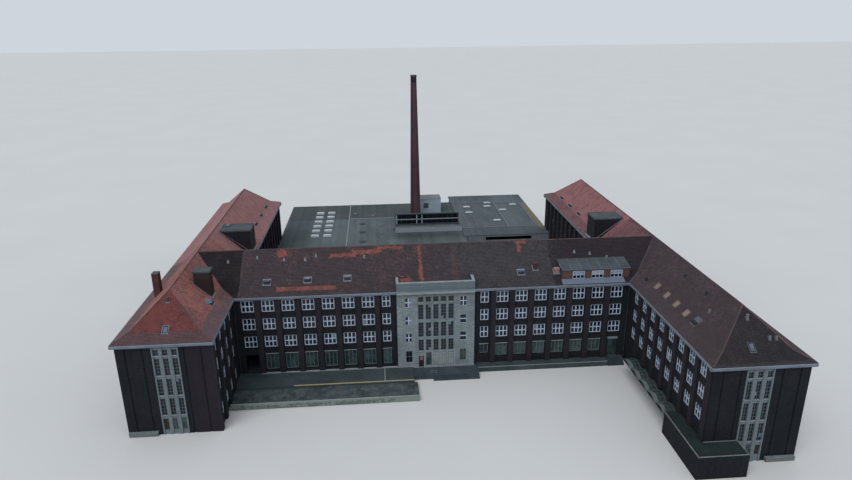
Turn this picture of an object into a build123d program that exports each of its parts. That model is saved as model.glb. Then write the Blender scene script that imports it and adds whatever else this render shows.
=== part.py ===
from build123d import *
import math
import os

# Brick factory on an H plan, as a 1:10 scale model: a front block between two long wings,
# a stone middle front, tiled hipped roofs, and a flat-roofed hall with a chimney behind.
# X runs along the front, Y to the rear and Z up, in millimetres.
# The origin is on the ground under the middle of the plan.

# Window bays
bay = 400
bay_count = 7
first_bay_x = 1374
narrow_bay_x = 1008
corner_margin = 288
end_margin = 50
window_w = 250
narrow_window_w = 170
window_h = 250
sill_h = 90

# Plan
block_depth = 1864
wing_width = 1616
left_wing_reach = 1819
right_wing_reach = 3474
wing_rear_y = 6980
wing_first_bay_y = -395
wall_t = 45

# Levels
ground_floor_z = 105
first_floor_z = 606
storey_h = 393
upper_storeys = 3
floor_t = 30
wall_top_z = 1744
cornice_h = 75
overhang = 58
fascia_foot = 30
cove_h = 12
cove_in = 14

# Ground-floor openings of the front
left_sill_z = 190
right_sill_z = 265
ground_head_z = 540
dark_window_sill_z = 330
doorway_head_z = 522
loading_door_w = 260
entrance_w = 216
entrance_sill_z = 128

# Roof
ridge_z = 2479
kick_run = 265
kick_rise = 120
eave_lip = 6
tile_edge = 8
roof_t = 30

# Pilasters
pilaster_w = 110
pilaster_out = 40

# Stone middle front
stone_half_w = 797
stone_out = 50
stone_lap = 45
strip_pitch = 155
strip_w = 103
strip_rows = ((1190, 1520), (795, 1118))
strip_top_row = (1580, 1690)
stone_split_z = 474
stone_low_row = (stone_split_z, 728)
stone_door_head_z = 350
stone_door_sill_z = 95
side_window_x = 563
side_window_w = 130
side_rows = ((1469, 1675), (1076, 1263), (683, 874), (213, stone_split_z))
attic_top_z = 1996
attic_t = 45
attic_back_y = 283

# Wing fronts
panel_half_w = 228
panel_shift = 30
panel_t = 38
pier_out = 16
fin_w = 36
fin_out = 10
fin_count = 6
wing_strip_pitch = 158
wing_strip_w = 92
wing_low_row = (395, 728)
left_door_head_z = 318
left_door_sill_z = 88
right_door_head_z = 310
right_door_sill_z = 128
wing_door_w = wing_strip_w
groove_w = 30
groove_d = 14
groove_offsets = (350, 640)
ledge_w = 500
ledge_h = 70
ledge_out = 60

# Doors
door_t = 9
door_gap = 5.5
pin_r = 3
pin_gap = 0.3
door_setback = 12

# Glass
glass_t = 5
glass_lap = 5

# Docks, steps and terrace
dock_right_x = -490
dock_front_y = -590
lower_dock_z = 62
lower_dock_front_y = -1180
lower_dock_right_x = -425
upstand_h = 55
upstand_t = 30
apron_front_y = -400
apron_z = 80
apron_step = 40
right_dock_x0 = 860
right_dock_front_y = -215
landing_x0 = 3640
landing_x1 = 3990
landing_out = 120
stair_out = 225
stair_count = 4
dock_kerb_w = 25
dock_kerb_h = 12
terrace_z = 420
terrace_x = 3800
terrace_side_y = -2575
terrace_front_out = 376
terrace_front_x1 = 4650
terrace_wall_t = 30
railing_h = 100
railing_post = 6
railing_pitch = 300
canopy_t = 8
canopy_rise = 60
canopy_facet_count = 8

# Rear hall
hall_roof_z = 780
hall_roof_t = 30
hall_wall_t = 40
hall_x = 1480
hall_rear_y = 10180
far_hall_rear_y = 10850
far_hall_front_y = 6300
far_hall_roof_z = 810
hall_band_x0 = 2100
hall_band_x1 = 3500
hall_band_z0 = 640
hall_band_z1 = 745
clerestory_x0 = -600
clerestory_x1 = 1345
clerestory_y0 = 6900
clerestory_y1 = 7350
clerestory_top_z = 1380
clerestory_back_z = 1205
clerestory_t = 30
parapet_x1 = hall_x - hall_roof_t
parapet_top_z = 960
parapet_t = 40
plant_x0 = 330
plant_x1 = 1000
plant_y0 = 8950
plant_y1 = 9500
plant_top_z = 1255
rooflight_w = 230
rooflight_d = 130
rooflight_h = 40
hall_light_xs = (-3050, -2680)
hall_light_y0 = 6800
hall_light_pitch = 480
hall_light_count = 6
far_light_spots = ((2715, 9758), (2640, 9318), (1925, 9300), (1916, 8630), (2690, 7675),
                   (3091, 8835), (3560, 9450))
roof_kerb_y = 7000
roof_kerb_x = 2930
roof_kerb_rear_y = 9750
roof_kerb_far_x = 3840
hall_kerb_x = -2080
hall_kerb_y = 8440
roof_kerb_w = 30
roof_kerb_h = 25
ribbon_rows = ((1060, 1180), (1215, 1340))

# Chimney
chimney_x = 122
chimney_y = 8600
chimney_top_z = 5350
chimney_foot_r = 186
chimney_top_r = 90
chimney_wall_t = 34
chimney_foot_t = 68
flue_foot_z = 60
chimney_cap_h = 60
chimney_cap_out = 9
chimney_side_count = 20

# Dormers and stair heads
dormer_x0 = 2635
dormer_x1 = 4046
dormer_front_y = 100
dormer_front_z = 2080
dormer_back_z = 2165
dormer_wall_t = 25
dormer_window_h = 130
dormer_sill_above = 55
dormer_bays = 3
dormer_lid_t = 18
dormer_lid_out = 14
stair_x0 = 4085
stair_x1 = 4775
stair_y0 = 2510
stair_y1 = 3030
stair_top_z = 2385
stair_lid_t = 25
stair_lid_out = 15
small_head_y0 = -345
small_head_y1 = -120
small_head_x = 4340
small_head_w = 300
small_head_top_z = 2528

# Hatches, roof windows and vents on the slopes: places as (x, y), sizes as (along x, along y, high);
# on the front hips y counts back from the wing's front
hatch_size = (130, 90, 70)
front_hatches = ((-3396, 288), (-2582, 302), (-1779, 309), (1810, 296))
short_stack = (2120, 369)
short_stack_size = (90, 80, 150)
pink_box = (2554, 285)
pink_box_size = (110, 80, 110)
left_hatch = (-4326, -572)
left_hatch_size = (110, 150, 60)
tall_stack = (-5444, 0)
tall_stack_size = (120, 150)
tall_stack_top_z = 2405
hip_window_size = (90, 120)
left_hip_window = (-4848, 212)
right_hip_window = (4786, 252)
hip_window_h = 14
slope_window_size = (110, 150)
slope_window_x = 4318
slope_window_ys = (-668, -1104, -1511, -1904)
slope_window_h = 14
right_hatch = (4330, -2263)
vent_w = 34
vent_h = 90
left_hip_vent = (-4875, 625)
right_slope_vents = ((4542, -2272), (4665, -1865), (4670, -1030), (4253, -280))
right_hip_vents = ((4863, 622), (5129, 358), (5240, 354))
rear_hatch_size = (60, 170, 50)
rear_hatch_x = 4295
rear_hatch_ys = (4397, 5215, 6050)

# Worked-out places
inner_x = first_bay_x + (bay_count - 1) * bay + corner_margin
outer_x = inner_x + wing_width
wing_mid_x = inner_x + wing_width / 2
panel_mid_x = wing_mid_x - panel_shift
block_mid_y = block_depth / 2
cornice_top_z = wall_top_z + cornice_h
split_z = first_floor_z - floor_t
terrace_front_y = -right_wing_reach - terrace_front_out
canopy_count = int((-stair_out - terrace_side_y) / bay)
canopy_end_y = terrace_side_y + canopy_count * bay
plan_mid_y = (terrace_front_y + far_hall_rear_y) / 2
bay_xs = [first_bay_x + i * bay for i in range(bay_count)]
last_post_x = bay_xs[-2] + bay / 2
upper_floors = [first_floor_z + i * storey_h for i in range(upper_storeys)]
floor_tops = [ground_floor_z] + upper_floors + [wall_top_z + floor_t]
sides = (-1, 1)
wing_front_y = {-1: -left_wing_reach, 1: -right_wing_reach}


def chimney_r_at(z):
    """Outer radius of the chimney's shaft at a height."""
    return chimney_foot_r - (chimney_foot_r - chimney_top_r) * z / chimney_top_z


def block(x0, x1, y0, y1, z0, z1):
    """A box between two corners, given in either order along X."""
    x0, x1 = min(x0, x1), max(x0, x1)
    return Pos((x0 + x1) / 2, (y0 + y1) / 2, (z0 + z1) / 2) * Box(x1 - x0, y1 - y0, z1 - z0)


def solids_of(shape):
    return list(shape.solids())


def along_y(points, y0, y1):
    """An XZ outline drawn from y0 to y1."""
    face = Plane.XZ * make_face(Polyline(*points, close=True))
    return Pos(0, y1, 0) * extrude(face, amount=y1 - y0)


def along_x(points, x0, x1):
    """A YZ outline drawn from x0 to x1."""
    face = Plane.YZ * make_face(Polyline(*points, close=True))
    return Pos(x0, 0, 0) * extrude(face, amount=x1 - x0)


def plan_prism(points, height):
    return extrude(make_face(Polyline(*points, close=True)), amount=height)


def write(node, shapes):
    """One STEP file for a node, moved so that the origin is under the middle of the plan."""
    found = []
    for shape in shapes:
        found += solids_of(Pos(0, -plan_mid_y, 0) * shape)
    whole = found[0] if len(found) == 1 else Compound(children=found)
    whole.label = node
    export_step(whole, f"parts/{node}.step")


# Walls

def front_holes(side, rows):
    """Window holes of one half of the block's front or rear, as (x0, x1, z0, z1)."""
    holes = []
    for x in [narrow_bay_x] + bay_xs:
        half = (narrow_window_w if x == narrow_bay_x else window_w) / 2
        for z0, z1 in rows:
            holes.append((side * x - half, side * x + half, z0, z1))
    return holes


def upper_rows(count=upper_storeys):
    return [(z + sill_h, z + sill_h + window_h) for z in upper_floors[-count:]]


def cut_y(wall, holes, y0, y1):
    return wall - [block(x0, x1, y0 - 1, y1 + 1, z0, z1) for x0, x1, z0, z1 in holes]


def cut_x(wall, holes, x0, x1):
    low, high = min(x0, x1), max(x0, x1)
    return wall - [block(low - 1, high + 1, y0, y1, z0, z1) for y0, y1, z0, z1 in holes]


def front_upper_walls():
    walls = []
    for side in sides:
        near_x, far_x = side * (stone_half_w - stone_lap), side * (inner_x + wall_t)
        wall = block(near_x, far_x, 0, wall_t, split_z, wall_top_z)
        walls.append(cut_y(wall, front_holes(side, upper_rows()), 0, wall_t))
    return walls


def front_ground_walls():
    near_x = stone_half_w - stone_lap
    far_x = inner_x + wall_t
    left = block(-near_x, -far_x, 0, wall_t, 0, split_z)
    holes = front_holes(-1, [(left_sill_z, ground_head_z)])[:-1]
    last_x = bay_xs[-1]
    door_half = loading_door_w / 2
    holes.append((-last_x - door_half, -last_x + door_half, ground_floor_z, doorway_head_z))
    left = cut_y(left, holes, 0, wall_t)
    holes = front_holes(1, [(right_sill_z, ground_head_z)])[1:-1]
    dark = (narrow_bay_x - narrow_window_w / 2, narrow_bay_x + narrow_window_w / 2)
    holes.append((*dark, dark_window_sill_z, ground_head_z))
    middle = block(near_x, last_x - entrance_w / 2, 0, wall_t, 0, split_z)
    middle = cut_y(middle, holes, 0, wall_t)
    corner = block(last_x + entrance_w / 2, far_x, 0, wall_t, 0, split_z)
    return [left, middle, corner]


def entrance_frame():
    """The wall over and under the entrance, between the ground walls."""
    x0 = bay_xs[-1] - entrance_w / 2
    x1 = bay_xs[-1] + entrance_w / 2
    over = block(x0, x1, 0, wall_t, doorway_head_z, split_z)
    under = block(x0, x1, 0, wall_t, 0, entrance_sill_z)
    return [over, under]


def block_rear_wall():
    far_x = inner_x + wall_t
    wall = block(-far_x, far_x, block_depth - wall_t, block_depth, 0, wall_top_z)
    holes = front_holes(-1, upper_rows(2)) + front_holes(1, upper_rows(2))
    return [cut_y(wall, holes, block_depth - wall_t, block_depth)]


def strips(half_count, pitch, width, rows):
    """Holes of the tall window strips about X = 0."""
    holes = []
    for i in range(-half_count, half_count + 1):
        for z0, z1 in rows:
            holes.append((i * pitch - width / 2, i * pitch + width / 2, z0, z1))
    return holes


def stone_front_rows():
    return (strip_top_row,) + strip_rows + (stone_low_row,)


def stone_side_holes(rows):
    holes = []
    for side in sides:
        x = side * side_window_x
        holes += [(x - side_window_w / 2, x + side_window_w / 2, z0, z1) for z0, z1 in rows]
    return holes


def stone_front():
    wall = block(-stone_half_w, stone_half_w, -stone_out, 0, stone_split_z, wall_top_z)
    holes = strips(2, strip_pitch, strip_w, stone_front_rows())
    return [cut_y(wall, holes + stone_side_holes(side_rows[:-1]), -stone_out, 0)]


def stone_base():
    """The stone front's ground storey, beside its door."""
    top = stone_split_z
    door_x = -2 * strip_pitch
    left = block(-stone_half_w, door_x - strip_w / 2, -stone_out, 0, 0, top)
    right = block(door_x + strip_w / 2, stone_half_w, -stone_out, 0, 0, top)
    holes = stone_side_holes(side_rows[-1:])
    return [cut_y(left, holes[:1], -stone_out, 0), cut_y(right, holes[1:], -stone_out, 0)]


def stone_door_frame():
    """The stone over and under the door in the stone front."""
    x0 = -2 * strip_pitch - strip_w / 2
    x1 = x0 + strip_w
    over = block(x0, x1, -stone_out, 0, stone_door_head_z, stone_split_z)
    under = block(x0, x1, -stone_out, 0, 0, stone_door_sill_z)
    return [over, under]


def wing_bays(side, y0, y1):
    """Bay centres along a wing between two places, in step with the front ones."""
    first = math.ceil((y0 + end_margin + window_w / 2 - wing_first_bay_y) / bay)
    last = math.floor((y1 - end_margin - window_w / 2 - wing_first_bay_y) / bay)
    return [wing_first_bay_y + i * bay for i in range(first, last + 1)]


def wing_holes(ys, rows):
    return [(y - window_w / 2, y + window_w / 2, z0, z1) for y in ys for z0, z1 in rows]


def wing_inner_walls():
    walls = []
    for side in sides:
        x0, x1 = side * inner_x, side * (inner_x + wall_t)
        y0 = wing_front_y[side] + wall_t
        front = block(x0, x1, y0, 0, 0, wall_top_z)
        rows = upper_rows()
        if side < 0:
            rows = rows + [(left_sill_z, left_sill_z + window_h)]
        front = cut_x(front, wing_holes(wing_bays(side, wing_front_y[side], 0), rows), x0, x1)
        rear = block(x0, x1, block_depth, wing_rear_y - wall_t, 0, wall_top_z)
        rear = cut_x(rear, wing_holes(wing_bays(side, block_depth, wing_rear_y), upper_rows(2)), x0, x1)
        walls += [front, rear]
    return walls


def wing_outer_walls():
    walls = []
    for side in sides:
        x0, x1 = side * (outer_x - wall_t), side * outer_x
        wall = block(x0, x1, wing_front_y[side] + wall_t, wing_rear_y - wall_t, 0, wall_top_z)
        rows = upper_rows() + [(left_sill_z, left_sill_z + window_h)]
        walls.append(cut_x(wall, wing_holes(wing_bays(side, wing_front_y[side], wing_rear_y), rows), x0, x1))
    return walls


def grooves(side, y0, z0):
    cuts = []
    half = groove_w / 2
    for offset in groove_offsets:
        for way in sides:
            x = side * wing_mid_x + way * offset
            cuts.append(block(x - half, x + half, y0 - 1, y0 + groove_d, z0 - 1, wall_top_z + 1))
    return cuts


def wing_front_walls():
    """Brick on each side of the stone panel, which runs from the ground to the top windows."""
    walls = []
    for side in sides:
        y0 = wing_front_y[side]
        for way in sides:
            near = side * panel_mid_x + way * panel_half_w
            far = side * wing_mid_x + way * wing_width / 2
            walls.append(block(near, far, y0, y0 + wall_t, 0, wall_top_z) - grooves(side, y0, 0))
    return walls


def wing_stone_panels():
    panels = []
    for side in sides:
        y0 = wing_front_y[side]
        x = side * panel_mid_x
        head = left_door_head_z if side < 0 else right_door_head_z
        panel = block(x - panel_half_w, x + panel_half_w, y0, y0 + panel_t, head, wall_top_z)
        rows = (strip_top_row,) + strip_rows + (wing_low_row,)
        holes = strips(1, wing_strip_pitch, wing_strip_w, rows)
        holes = [(x + x0, x + x1, z0, z1) for x0, x1, z0, z1 in holes]
        panels.append(cut_y(panel, holes, y0, y0 + panel_t))
    return panels


def wing_piers():
    """Stone piers that stand proud between and beside the strips of a wing front."""
    piers = []
    gap_w = wing_strip_pitch - wing_strip_w
    edge_w = panel_half_w - wing_strip_pitch - wing_strip_w / 2
    for side in sides:
        y0 = wing_front_y[side]
        x = side * panel_mid_x
        for way in sides:
            near = x + way * wing_strip_w / 2
            piers.append(block(near, near + way * gap_w, y0 - pier_out, y0, 0, wall_top_z))
            far = x + way * panel_half_w
            foot = terrace_z if side > 0 and far < terrace_front_x1 else 0
            piers.append(block(far - way * edge_w, far, y0 - pier_out, y0, foot, wall_top_z))
    return piers


def stone_fins():
    """Slender fins between the strips of the stone middle front."""
    fins = []
    half = fin_w / 2
    for i in range(fin_count):
        x = (i - (fin_count - 1) / 2) * strip_pitch
        fins.append(block(x - half, x + half, -stone_out - fin_out, -stone_out, stone_split_z, wall_top_z))
    return fins


def wing_door_x(side):
    """The doors are in the outer strip of the left wing and the right strip of the right wing."""
    return side * (panel_mid_x + wing_strip_pitch)


def wing_stone_bases():
    bases = []
    for side in sides:
        y0 = wing_front_y[side]
        x = side * panel_mid_x
        head = left_door_head_z if side < 0 else right_door_head_z
        door = wing_door_x(side)
        half = wing_door_w / 2
        for x0, x1 in ((x - panel_half_w, door - half), (door + half, x + panel_half_w)):
            bases.append(block(x0, x1, y0, y0 + panel_t, 0, head))
    return bases


def wing_door_sills():
    sills = []
    for side in sides:
        y0 = wing_front_y[side]
        door = wing_door_x(side)
        top = left_door_sill_z if side < 0 else right_door_sill_z
        sills.append(block(door - wing_door_w / 2, door + wing_door_w / 2, y0, y0 + panel_t, 0, top))
    return sills


def wing_rear_walls():
    walls = []
    for side in sides:
        wall = block(side * inner_x, side * outer_x, wing_rear_y - wall_t, wing_rear_y, 0, wall_top_z)
        holes = []
        for i in (-1, 0, 1):
            x = side * wing_mid_x + i * bay
            holes += [(x - window_w / 2, x + window_w / 2, z0, z1) for z0, z1 in upper_rows(2)]
        walls.append(cut_y(wall, holes, wing_rear_y - wall_t, wing_rear_y))
    return walls


# Floors

def block_floors():
    floors = []
    for top in floor_tops:
        far_x = inner_x + wall_t
        floors.append(block(-far_x, far_x, wall_t, block_depth - wall_t, top - floor_t, top))
    return floors


def wing_floors():
    floors = []
    for side in sides:
        for top in floor_tops:
            x0, x1 = side * (inner_x + wall_t), side * (outer_x - wall_t)
            y0, y1 = wing_front_y[side] + wall_t, wing_rear_y - wall_t
            floors.append(block(x0, x1, y0, y1, top - floor_t, top))
    return floors


# Pilasters

def front_pilasters():
    """Posts between the bays of the front; those over a deck stand on it."""
    posts = []
    half = pilaster_w / 2
    for side in sides:
        xs = [(narrow_bay_x + first_bay_x) / 2] + [x + bay / 2 for x in bay_xs[:-1]]
        for x in xs:
            x0, x1 = side * x - half, side * x + half
            posts.append(block(x0, x1, -pilaster_out, 0, ground_floor_z, wall_top_z))
    return posts


def side_post(side, face_x, y, foot):
    """A post on a wall that faces along X; face_x is signed outward from the wall."""
    half = pilaster_w / 2
    return block(side * face_x[0], side * face_x[1], y - half, y + half, foot, wall_top_z)


def court_post_foot(side, y):
    """Where a post on a wing's front court side starts: deck, lower deck, terrace, canopy or ground."""
    if side < 0:
        if y + pilaster_w / 2 > dock_front_y:
            return ground_floor_z
        return lower_dock_z if y > lower_dock_front_y else 0
    return terrace_z if y < canopy_end_y else 0


def rear_post_foot(side, y):
    if side < 0:
        return hall_roof_z
    return far_hall_roof_z if y > far_hall_front_y else 0


def wing_pilasters():
    posts = []
    inner_face = (inner_x - pilaster_out, inner_x)
    outer_face = (outer_x, outer_x + pilaster_out)
    for side in sides:
        front_y = wing_front_y[side]
        ys = wing_bays(side, front_y, 0)
        for y in [ys[0] - bay / 2] + [y + bay / 2 for y in ys[:-1]]:
            y = max(y, front_y + pilaster_w / 2)
            posts.append(side_post(side, inner_face, y, court_post_foot(side, y)))
        for y in wing_bays(side, block_depth, wing_rear_y)[:-1]:
            y = y + bay / 2
            posts.append(side_post(side, inner_face, y, rear_post_foot(side, y)))
        for y in wing_bays(side, front_y, wing_rear_y)[:-1]:
            posts.append(side_post(side, outer_face, y + bay / 2, 0))
    return posts


# Cornices: a box gutter with a coved underside

def cornice_outline(wall_face, out):
    """Section of the cornice; out is +1 where the wall faces along the plus axis."""
    across = (-overhang, -overhang, cove_in - overhang, -cove_in, wall_t, wall_t)
    up = (cornice_h, fascia_foot, cove_h, 0, 0, cornice_h)
    return [(wall_face - out * a, wall_top_z + b) for a, b in zip(across, up)]


def cornice_ends():
    """Runs along X: block front and rear, wing fronts and rears, and the stone front."""
    runs = []
    for side in sides:
        x0, x1 = sorted((side * stone_half_w, side * (inner_x + wall_t)))
        runs.append(along_x(cornice_outline(0, -1), x0, x1))
        x0, x1 = sorted((side * (inner_x - overhang), side * (outer_x + overhang)))
        runs.append(along_x(cornice_outline(wing_front_y[side], -1), x0, x1))
        runs.append(along_x(cornice_outline(wing_rear_y, 1), x0, x1))
    runs.append(along_x(cornice_outline(block_depth, 1), -inner_x - wall_t, inner_x + wall_t))
    return runs


def stone_cornice():
    front = -stone_out - overhang
    across = (front, front, front + cove_in, -stone_out - cove_in, wall_t, wall_t)
    up = (cornice_h, fascia_foot, cove_h, 0, 0, cornice_h)
    points = [(a, wall_top_z + b) for a, b in zip(across, up)]
    return along_x(points, -stone_half_w, stone_half_w)


def cornice_sides():
    """Runs along Y, between the runs along X."""
    runs = []
    for side in sides:
        y0, y1 = wing_front_y[side] + wall_t, wing_rear_y - wall_t
        runs.append(along_y(cornice_outline(side * outer_x, side), y0, y1))
        inner = cornice_outline(side * inner_x, -side)
        runs.append(along_y(inner, y0, -overhang))
        runs.append(along_y(inner, block_depth + overhang, y1))
    return runs


# Roofs: slabs with a flatter kick at the eaves, mitred at ridges, hips and valleys

def slope_outline(eave, ridge, way):
    """Section of a roof slab from its eave edge to the ridge; way is +1 when it rises along plus."""
    kick = eave + way * kick_run
    kick_z = cornice_top_z + kick_rise
    lip_z = cornice_top_z + eave_lip
    foot = kick - way * (kick_z - roof_t - cornice_top_z) * kick_run / (kick_rise - eave_lip)
    return [(eave, cornice_top_z), (eave, lip_z), (kick, kick_z), (ridge, ridge_z),
            (ridge, ridge_z - roof_t), (kick, kick_z - roof_t), (foot, cornice_top_z)]


def under_slope(eave, ridge, way, extra=10):
    """Everything below one slope's outer surface."""
    kick = eave + way * kick_run
    return [(eave, 0), (eave, cornice_top_z + eave_lip), (kick, cornice_top_z + kick_rise),
            (ridge, ridge_z), (ridge + way * extra, ridge_z), (ridge + way * extra, 0)]


def wing_edges(side):
    """Eave edges of a wing's roof: inner x, outer x, front y, rear y."""
    edge = overhang - tile_edge
    return (inner_x - edge, outer_x + edge, wing_front_y[side] - edge, wing_rear_y + edge)


def roof_sides(facing):
    """The wings' long slopes that face one way along X."""
    slabs = []
    for side in sides:
        inner, outer, front, rear = wing_edges(side)
        ridge = side * wing_mid_x
        run = wing_mid_x - inner
        eave = side * (inner if side != facing else outer)
        way = 1 if ridge > eave else -1
        slab = along_y(slope_outline(eave, ridge, way), front, rear)
        plan = [(eave, front), (ridge, front + run), (ridge, rear - run), (eave, rear)]
        slabs.append(slab & plan_prism(plan, ridge_z + 10))
    return slabs


def wing_hips(end):
    """The wings' hip slopes at the front (-1) or rear (+1)."""
    slabs = []
    for side in sides:
        inner, outer, front, rear = wing_edges(side)
        ridge_x = side * wing_mid_x
        run = wing_mid_x - inner
        eave = front if end < 0 else rear
        slab = along_x(slope_outline(eave, eave - end * run, -end), ridge_x - run, ridge_x + run)
        plan = [(ridge_x - run, eave), (ridge_x + run, eave), (ridge_x, eave - end * run)]
        slabs.append(slab & plan_prism(plan, ridge_z + 10))
    return slabs


def wing_inner_cut():
    """What lies under the wings' courtyard slopes, for the valleys."""
    cuts = []
    for side in sides:
        inner, outer, front, rear = wing_edges(side)
        outline = under_slope(side * inner, side * wing_mid_x, side, extra=wing_width)
        cuts.append(along_y(outline, -overhang * 2, block_depth + overhang * 2))
    return cuts


def block_slope(end):
    edge = overhang - tile_edge
    eave = -edge if end < 0 else block_depth + edge
    slab = along_x(slope_outline(eave, block_mid_y, -end), -wing_mid_x, wing_mid_x)
    slab = slab - wing_inner_cut()
    if end < 0:
        slab = slab - block(-stone_half_w, stone_half_w, -overhang - 10, attic_t - stone_out, 0, attic_top_z)
    return slab


def attic():
    """Stone parapet over the middle front, with cheeks that run back into the roof."""
    back = attic_t - stone_out
    face = block(-stone_half_w, stone_half_w, -stone_out, back, cornice_top_z, attic_top_z)
    edge = overhang - tile_edge
    under = along_x(under_slope(-edge, block_mid_y, 1), -stone_half_w - 10, stone_half_w + 10)
    for side in sides:
        x0, x1 = side * (stone_half_w - attic_t), side * stone_half_w
        cheek = block(x0, x1, back, attic_back_y, cornice_top_z, attic_top_z)
        face = face + (cheek - under)
    return [face + stone_cornice()]


# Doors: a leaf on two pivot pins that stand in the head and the sill

def pivot_door(x0, x1, y0, sill, head, hinge_left=True):
    """A leaf with an eight-sided heel between x0 and x1, on pins that run to the sill and the head."""
    heel_r = door_t / 2
    y_mid = y0 + heel_r
    pin_x = x0 + door_gap + heel_r if hinge_left else x1 - door_gap - heel_r
    far_x = x1 - door_gap if hinge_left else x0 + door_gap
    low, high = sill + door_gap, head - door_gap
    base = (Align.CENTER, Align.CENTER, Align.MIN)
    leaf = block(pin_x, far_x, y0, y0 + door_t, low, high)
    heel = extrude(RegularPolygon(heel_r, 8, major_radius=False, rotation=22.5), amount=high - low)
    leaf = leaf + Pos(pin_x, y_mid, low) * heel
    pin = Cylinder(pin_r, door_gap - pin_gap, align=base)
    return leaf + Pos(pin_x, y_mid, sill + pin_gap) * pin + Pos(pin_x, y_mid, high) * pin


def stone_door():
    x0 = -2 * strip_pitch - strip_w / 2
    return [pivot_door(x0, x0 + strip_w, -stone_out + door_setback, stone_door_sill_z, stone_door_head_z)]


def entrance_door(way):
    x0 = bay_xs[-1] - entrance_w / 2
    x1 = bay_xs[-1] + entrance_w / 2
    mid = bay_xs[-1]
    half_gap = door_gap / 2
    if way < 0:
        return [pivot_door(x0, mid + half_gap, door_setback, entrance_sill_z, doorway_head_z, True)]
    return [pivot_door(mid - half_gap, x1, door_setback, entrance_sill_z, doorway_head_z, False)]


def wing_door(side):
    door = wing_door_x(side)
    x0, x1 = door - wing_door_w / 2, door + wing_door_w / 2
    y0 = wing_front_y[side] + door_setback
    sill = left_door_sill_z if side < 0 else right_door_sill_z
    head = left_door_head_z if side < 0 else right_door_head_z
    return [pivot_door(x0, x1, y0, sill, head, side < 0)]


# Glass

def glass_front():
    """One sheet a storey behind each half of the front, and one for each storey of the rear."""
    sheets = []
    reach = bay_xs[-1] + window_w / 2 + glass_lap
    near = narrow_bay_x - narrow_window_w / 2 - glass_lap
    for side in sides:
        y1 = wall_t + glass_t
        for z0, z1 in upper_rows():
            sheets.append(block(side * near, side * reach, wall_t, y1, z0 - glass_lap, z1 + glass_lap))
        low = (left_sill_z if side < 0 else right_sill_z) - glass_lap
        far = reach - bay
        sheets.append(block(side * near, side * far, wall_t, y1, low, ground_head_z + glass_lap))
    for z0, z1 in upper_rows(2):
        y0 = block_depth - wall_t - glass_t
        sheets.append(block(-reach, reach, y0, y0 + glass_t, z0 - glass_lap, z1 + glass_lap))
    return sheets


def glass_wings():
    sheets = []
    for side in sides:
        rows = upper_rows() + [(left_sill_z, left_sill_z + window_h)]
        runs = [(wing_bays(side, wing_front_y[side], 0), rows, inner_x + wall_t),
                (wing_bays(side, block_depth, wing_rear_y), upper_rows(2), inner_x + wall_t),
                (wing_bays(side, wing_front_y[side], wing_rear_y), rows, outer_x - wall_t - glass_t)]
        for ys, levels, x in runs:
            for z0, z1 in levels:
                y0, y1 = ys[0] - window_w / 2 - glass_lap, ys[-1] + window_w / 2 + glass_lap
                sheets.append(block(side * x, side * (x + glass_t), y0, y1, z0 - glass_lap, z1 + glass_lap))
        half = bay + window_w / 2 + glass_lap
        for z0, z1 in upper_rows(2):
            y1 = wing_rear_y - wall_t
            x = side * wing_mid_x
            sheets.append(block(x - half, x + half, y1 - glass_t, y1, z0 - glass_lap, z1 + glass_lap))
    return sheets


def strip_glass():
    """One sheet a storey behind the tall strips, and a pane in each small window of the stone front."""
    panes = []
    reach = 2 * strip_pitch + strip_w / 2 + glass_lap
    for z0, z1 in stone_front_rows():
        panes.append(block(-reach, reach, 0, glass_t, z0 - glass_lap, z1 + glass_lap))
    for x0, x1, z0, z1 in stone_side_holes(side_rows):
        panes.append(block(x0, x1, -stone_out / 2, -stone_out / 2 + glass_t, z0, z1))
    reach = wing_strip_pitch + wing_strip_w / 2 + glass_lap
    for side in sides:
        x = side * panel_mid_x
        y0 = wing_front_y[side] + panel_t
        for z0, z1 in (strip_top_row,) + strip_rows + (wing_low_row,):
            panes.append(block(x - reach, x + reach, y0, y0 + glass_t, z0 - glass_lap, z1 + glass_lap))
    return panes


# Docks, steps and terrace

def loading_docks():
    """Raised decks on both sides of the stone middle; the left one steps down to the yard."""
    wall_x = -stone_half_w
    left = block(-inner_x, wall_x, dock_front_y, 0, 0, ground_floor_z)
    left = left + block(wall_x, dock_right_x, dock_front_y, -stone_out, 0, ground_floor_z)
    kerb_y = dock_front_y + dock_kerb_w
    kerb_z = ground_floor_z + dock_kerb_h
    kerb_x = -inner_x + pilaster_out
    left = left + block(kerb_x, dock_right_x, dock_front_y, kerb_y, ground_floor_z, kerb_z)
    right_x1 = last_post_x + pilaster_w / 2
    right = block(right_dock_x0, right_x1, right_dock_front_y, 0, 0, ground_floor_z)
    lower = block(-inner_x, lower_dock_right_x, lower_dock_front_y, dock_front_y, 0, lower_dock_z)
    front = lower_dock_front_y
    upstand_z = lower_dock_z + upstand_h
    upstand = block(kerb_x, lower_dock_right_x, front, front + upstand_t, lower_dock_z, upstand_z)
    return [left + lower + upstand, right]


def apron():
    """Stone slab with two steps in front of the stone middle."""
    x0, x1 = dock_right_x, right_dock_x0
    slab = block(x0, x1, apron_front_y, -stone_out, 0, apron_z)
    slab = slab + block(stone_half_w, x1, -stone_out, 0, 0, apron_z)
    steps = block(x0 + bay, x1, apron_front_y - apron_step, apron_front_y, 0, apron_z * 2 / 3)
    lower = block(x0 + bay, x1, apron_front_y - 2 * apron_step, apron_front_y, 0, apron_z / 3)
    return [slab + steps + lower]


def entrance_stair():
    """Landing and flight in front of the entrance."""
    stair = block(landing_x0, landing_x1, -landing_out, 0, 0, entrance_sill_z)
    going = (stair_out - landing_out) / stair_count
    for i in range(stair_count):
        top = entrance_sill_z * (stair_count - i) / (stair_count + 1)
        y1 = -landing_out - i * going
        stair = stair + block(landing_x0, landing_x1, y1 - going, y1, 0, top)
    return [stair]


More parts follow.
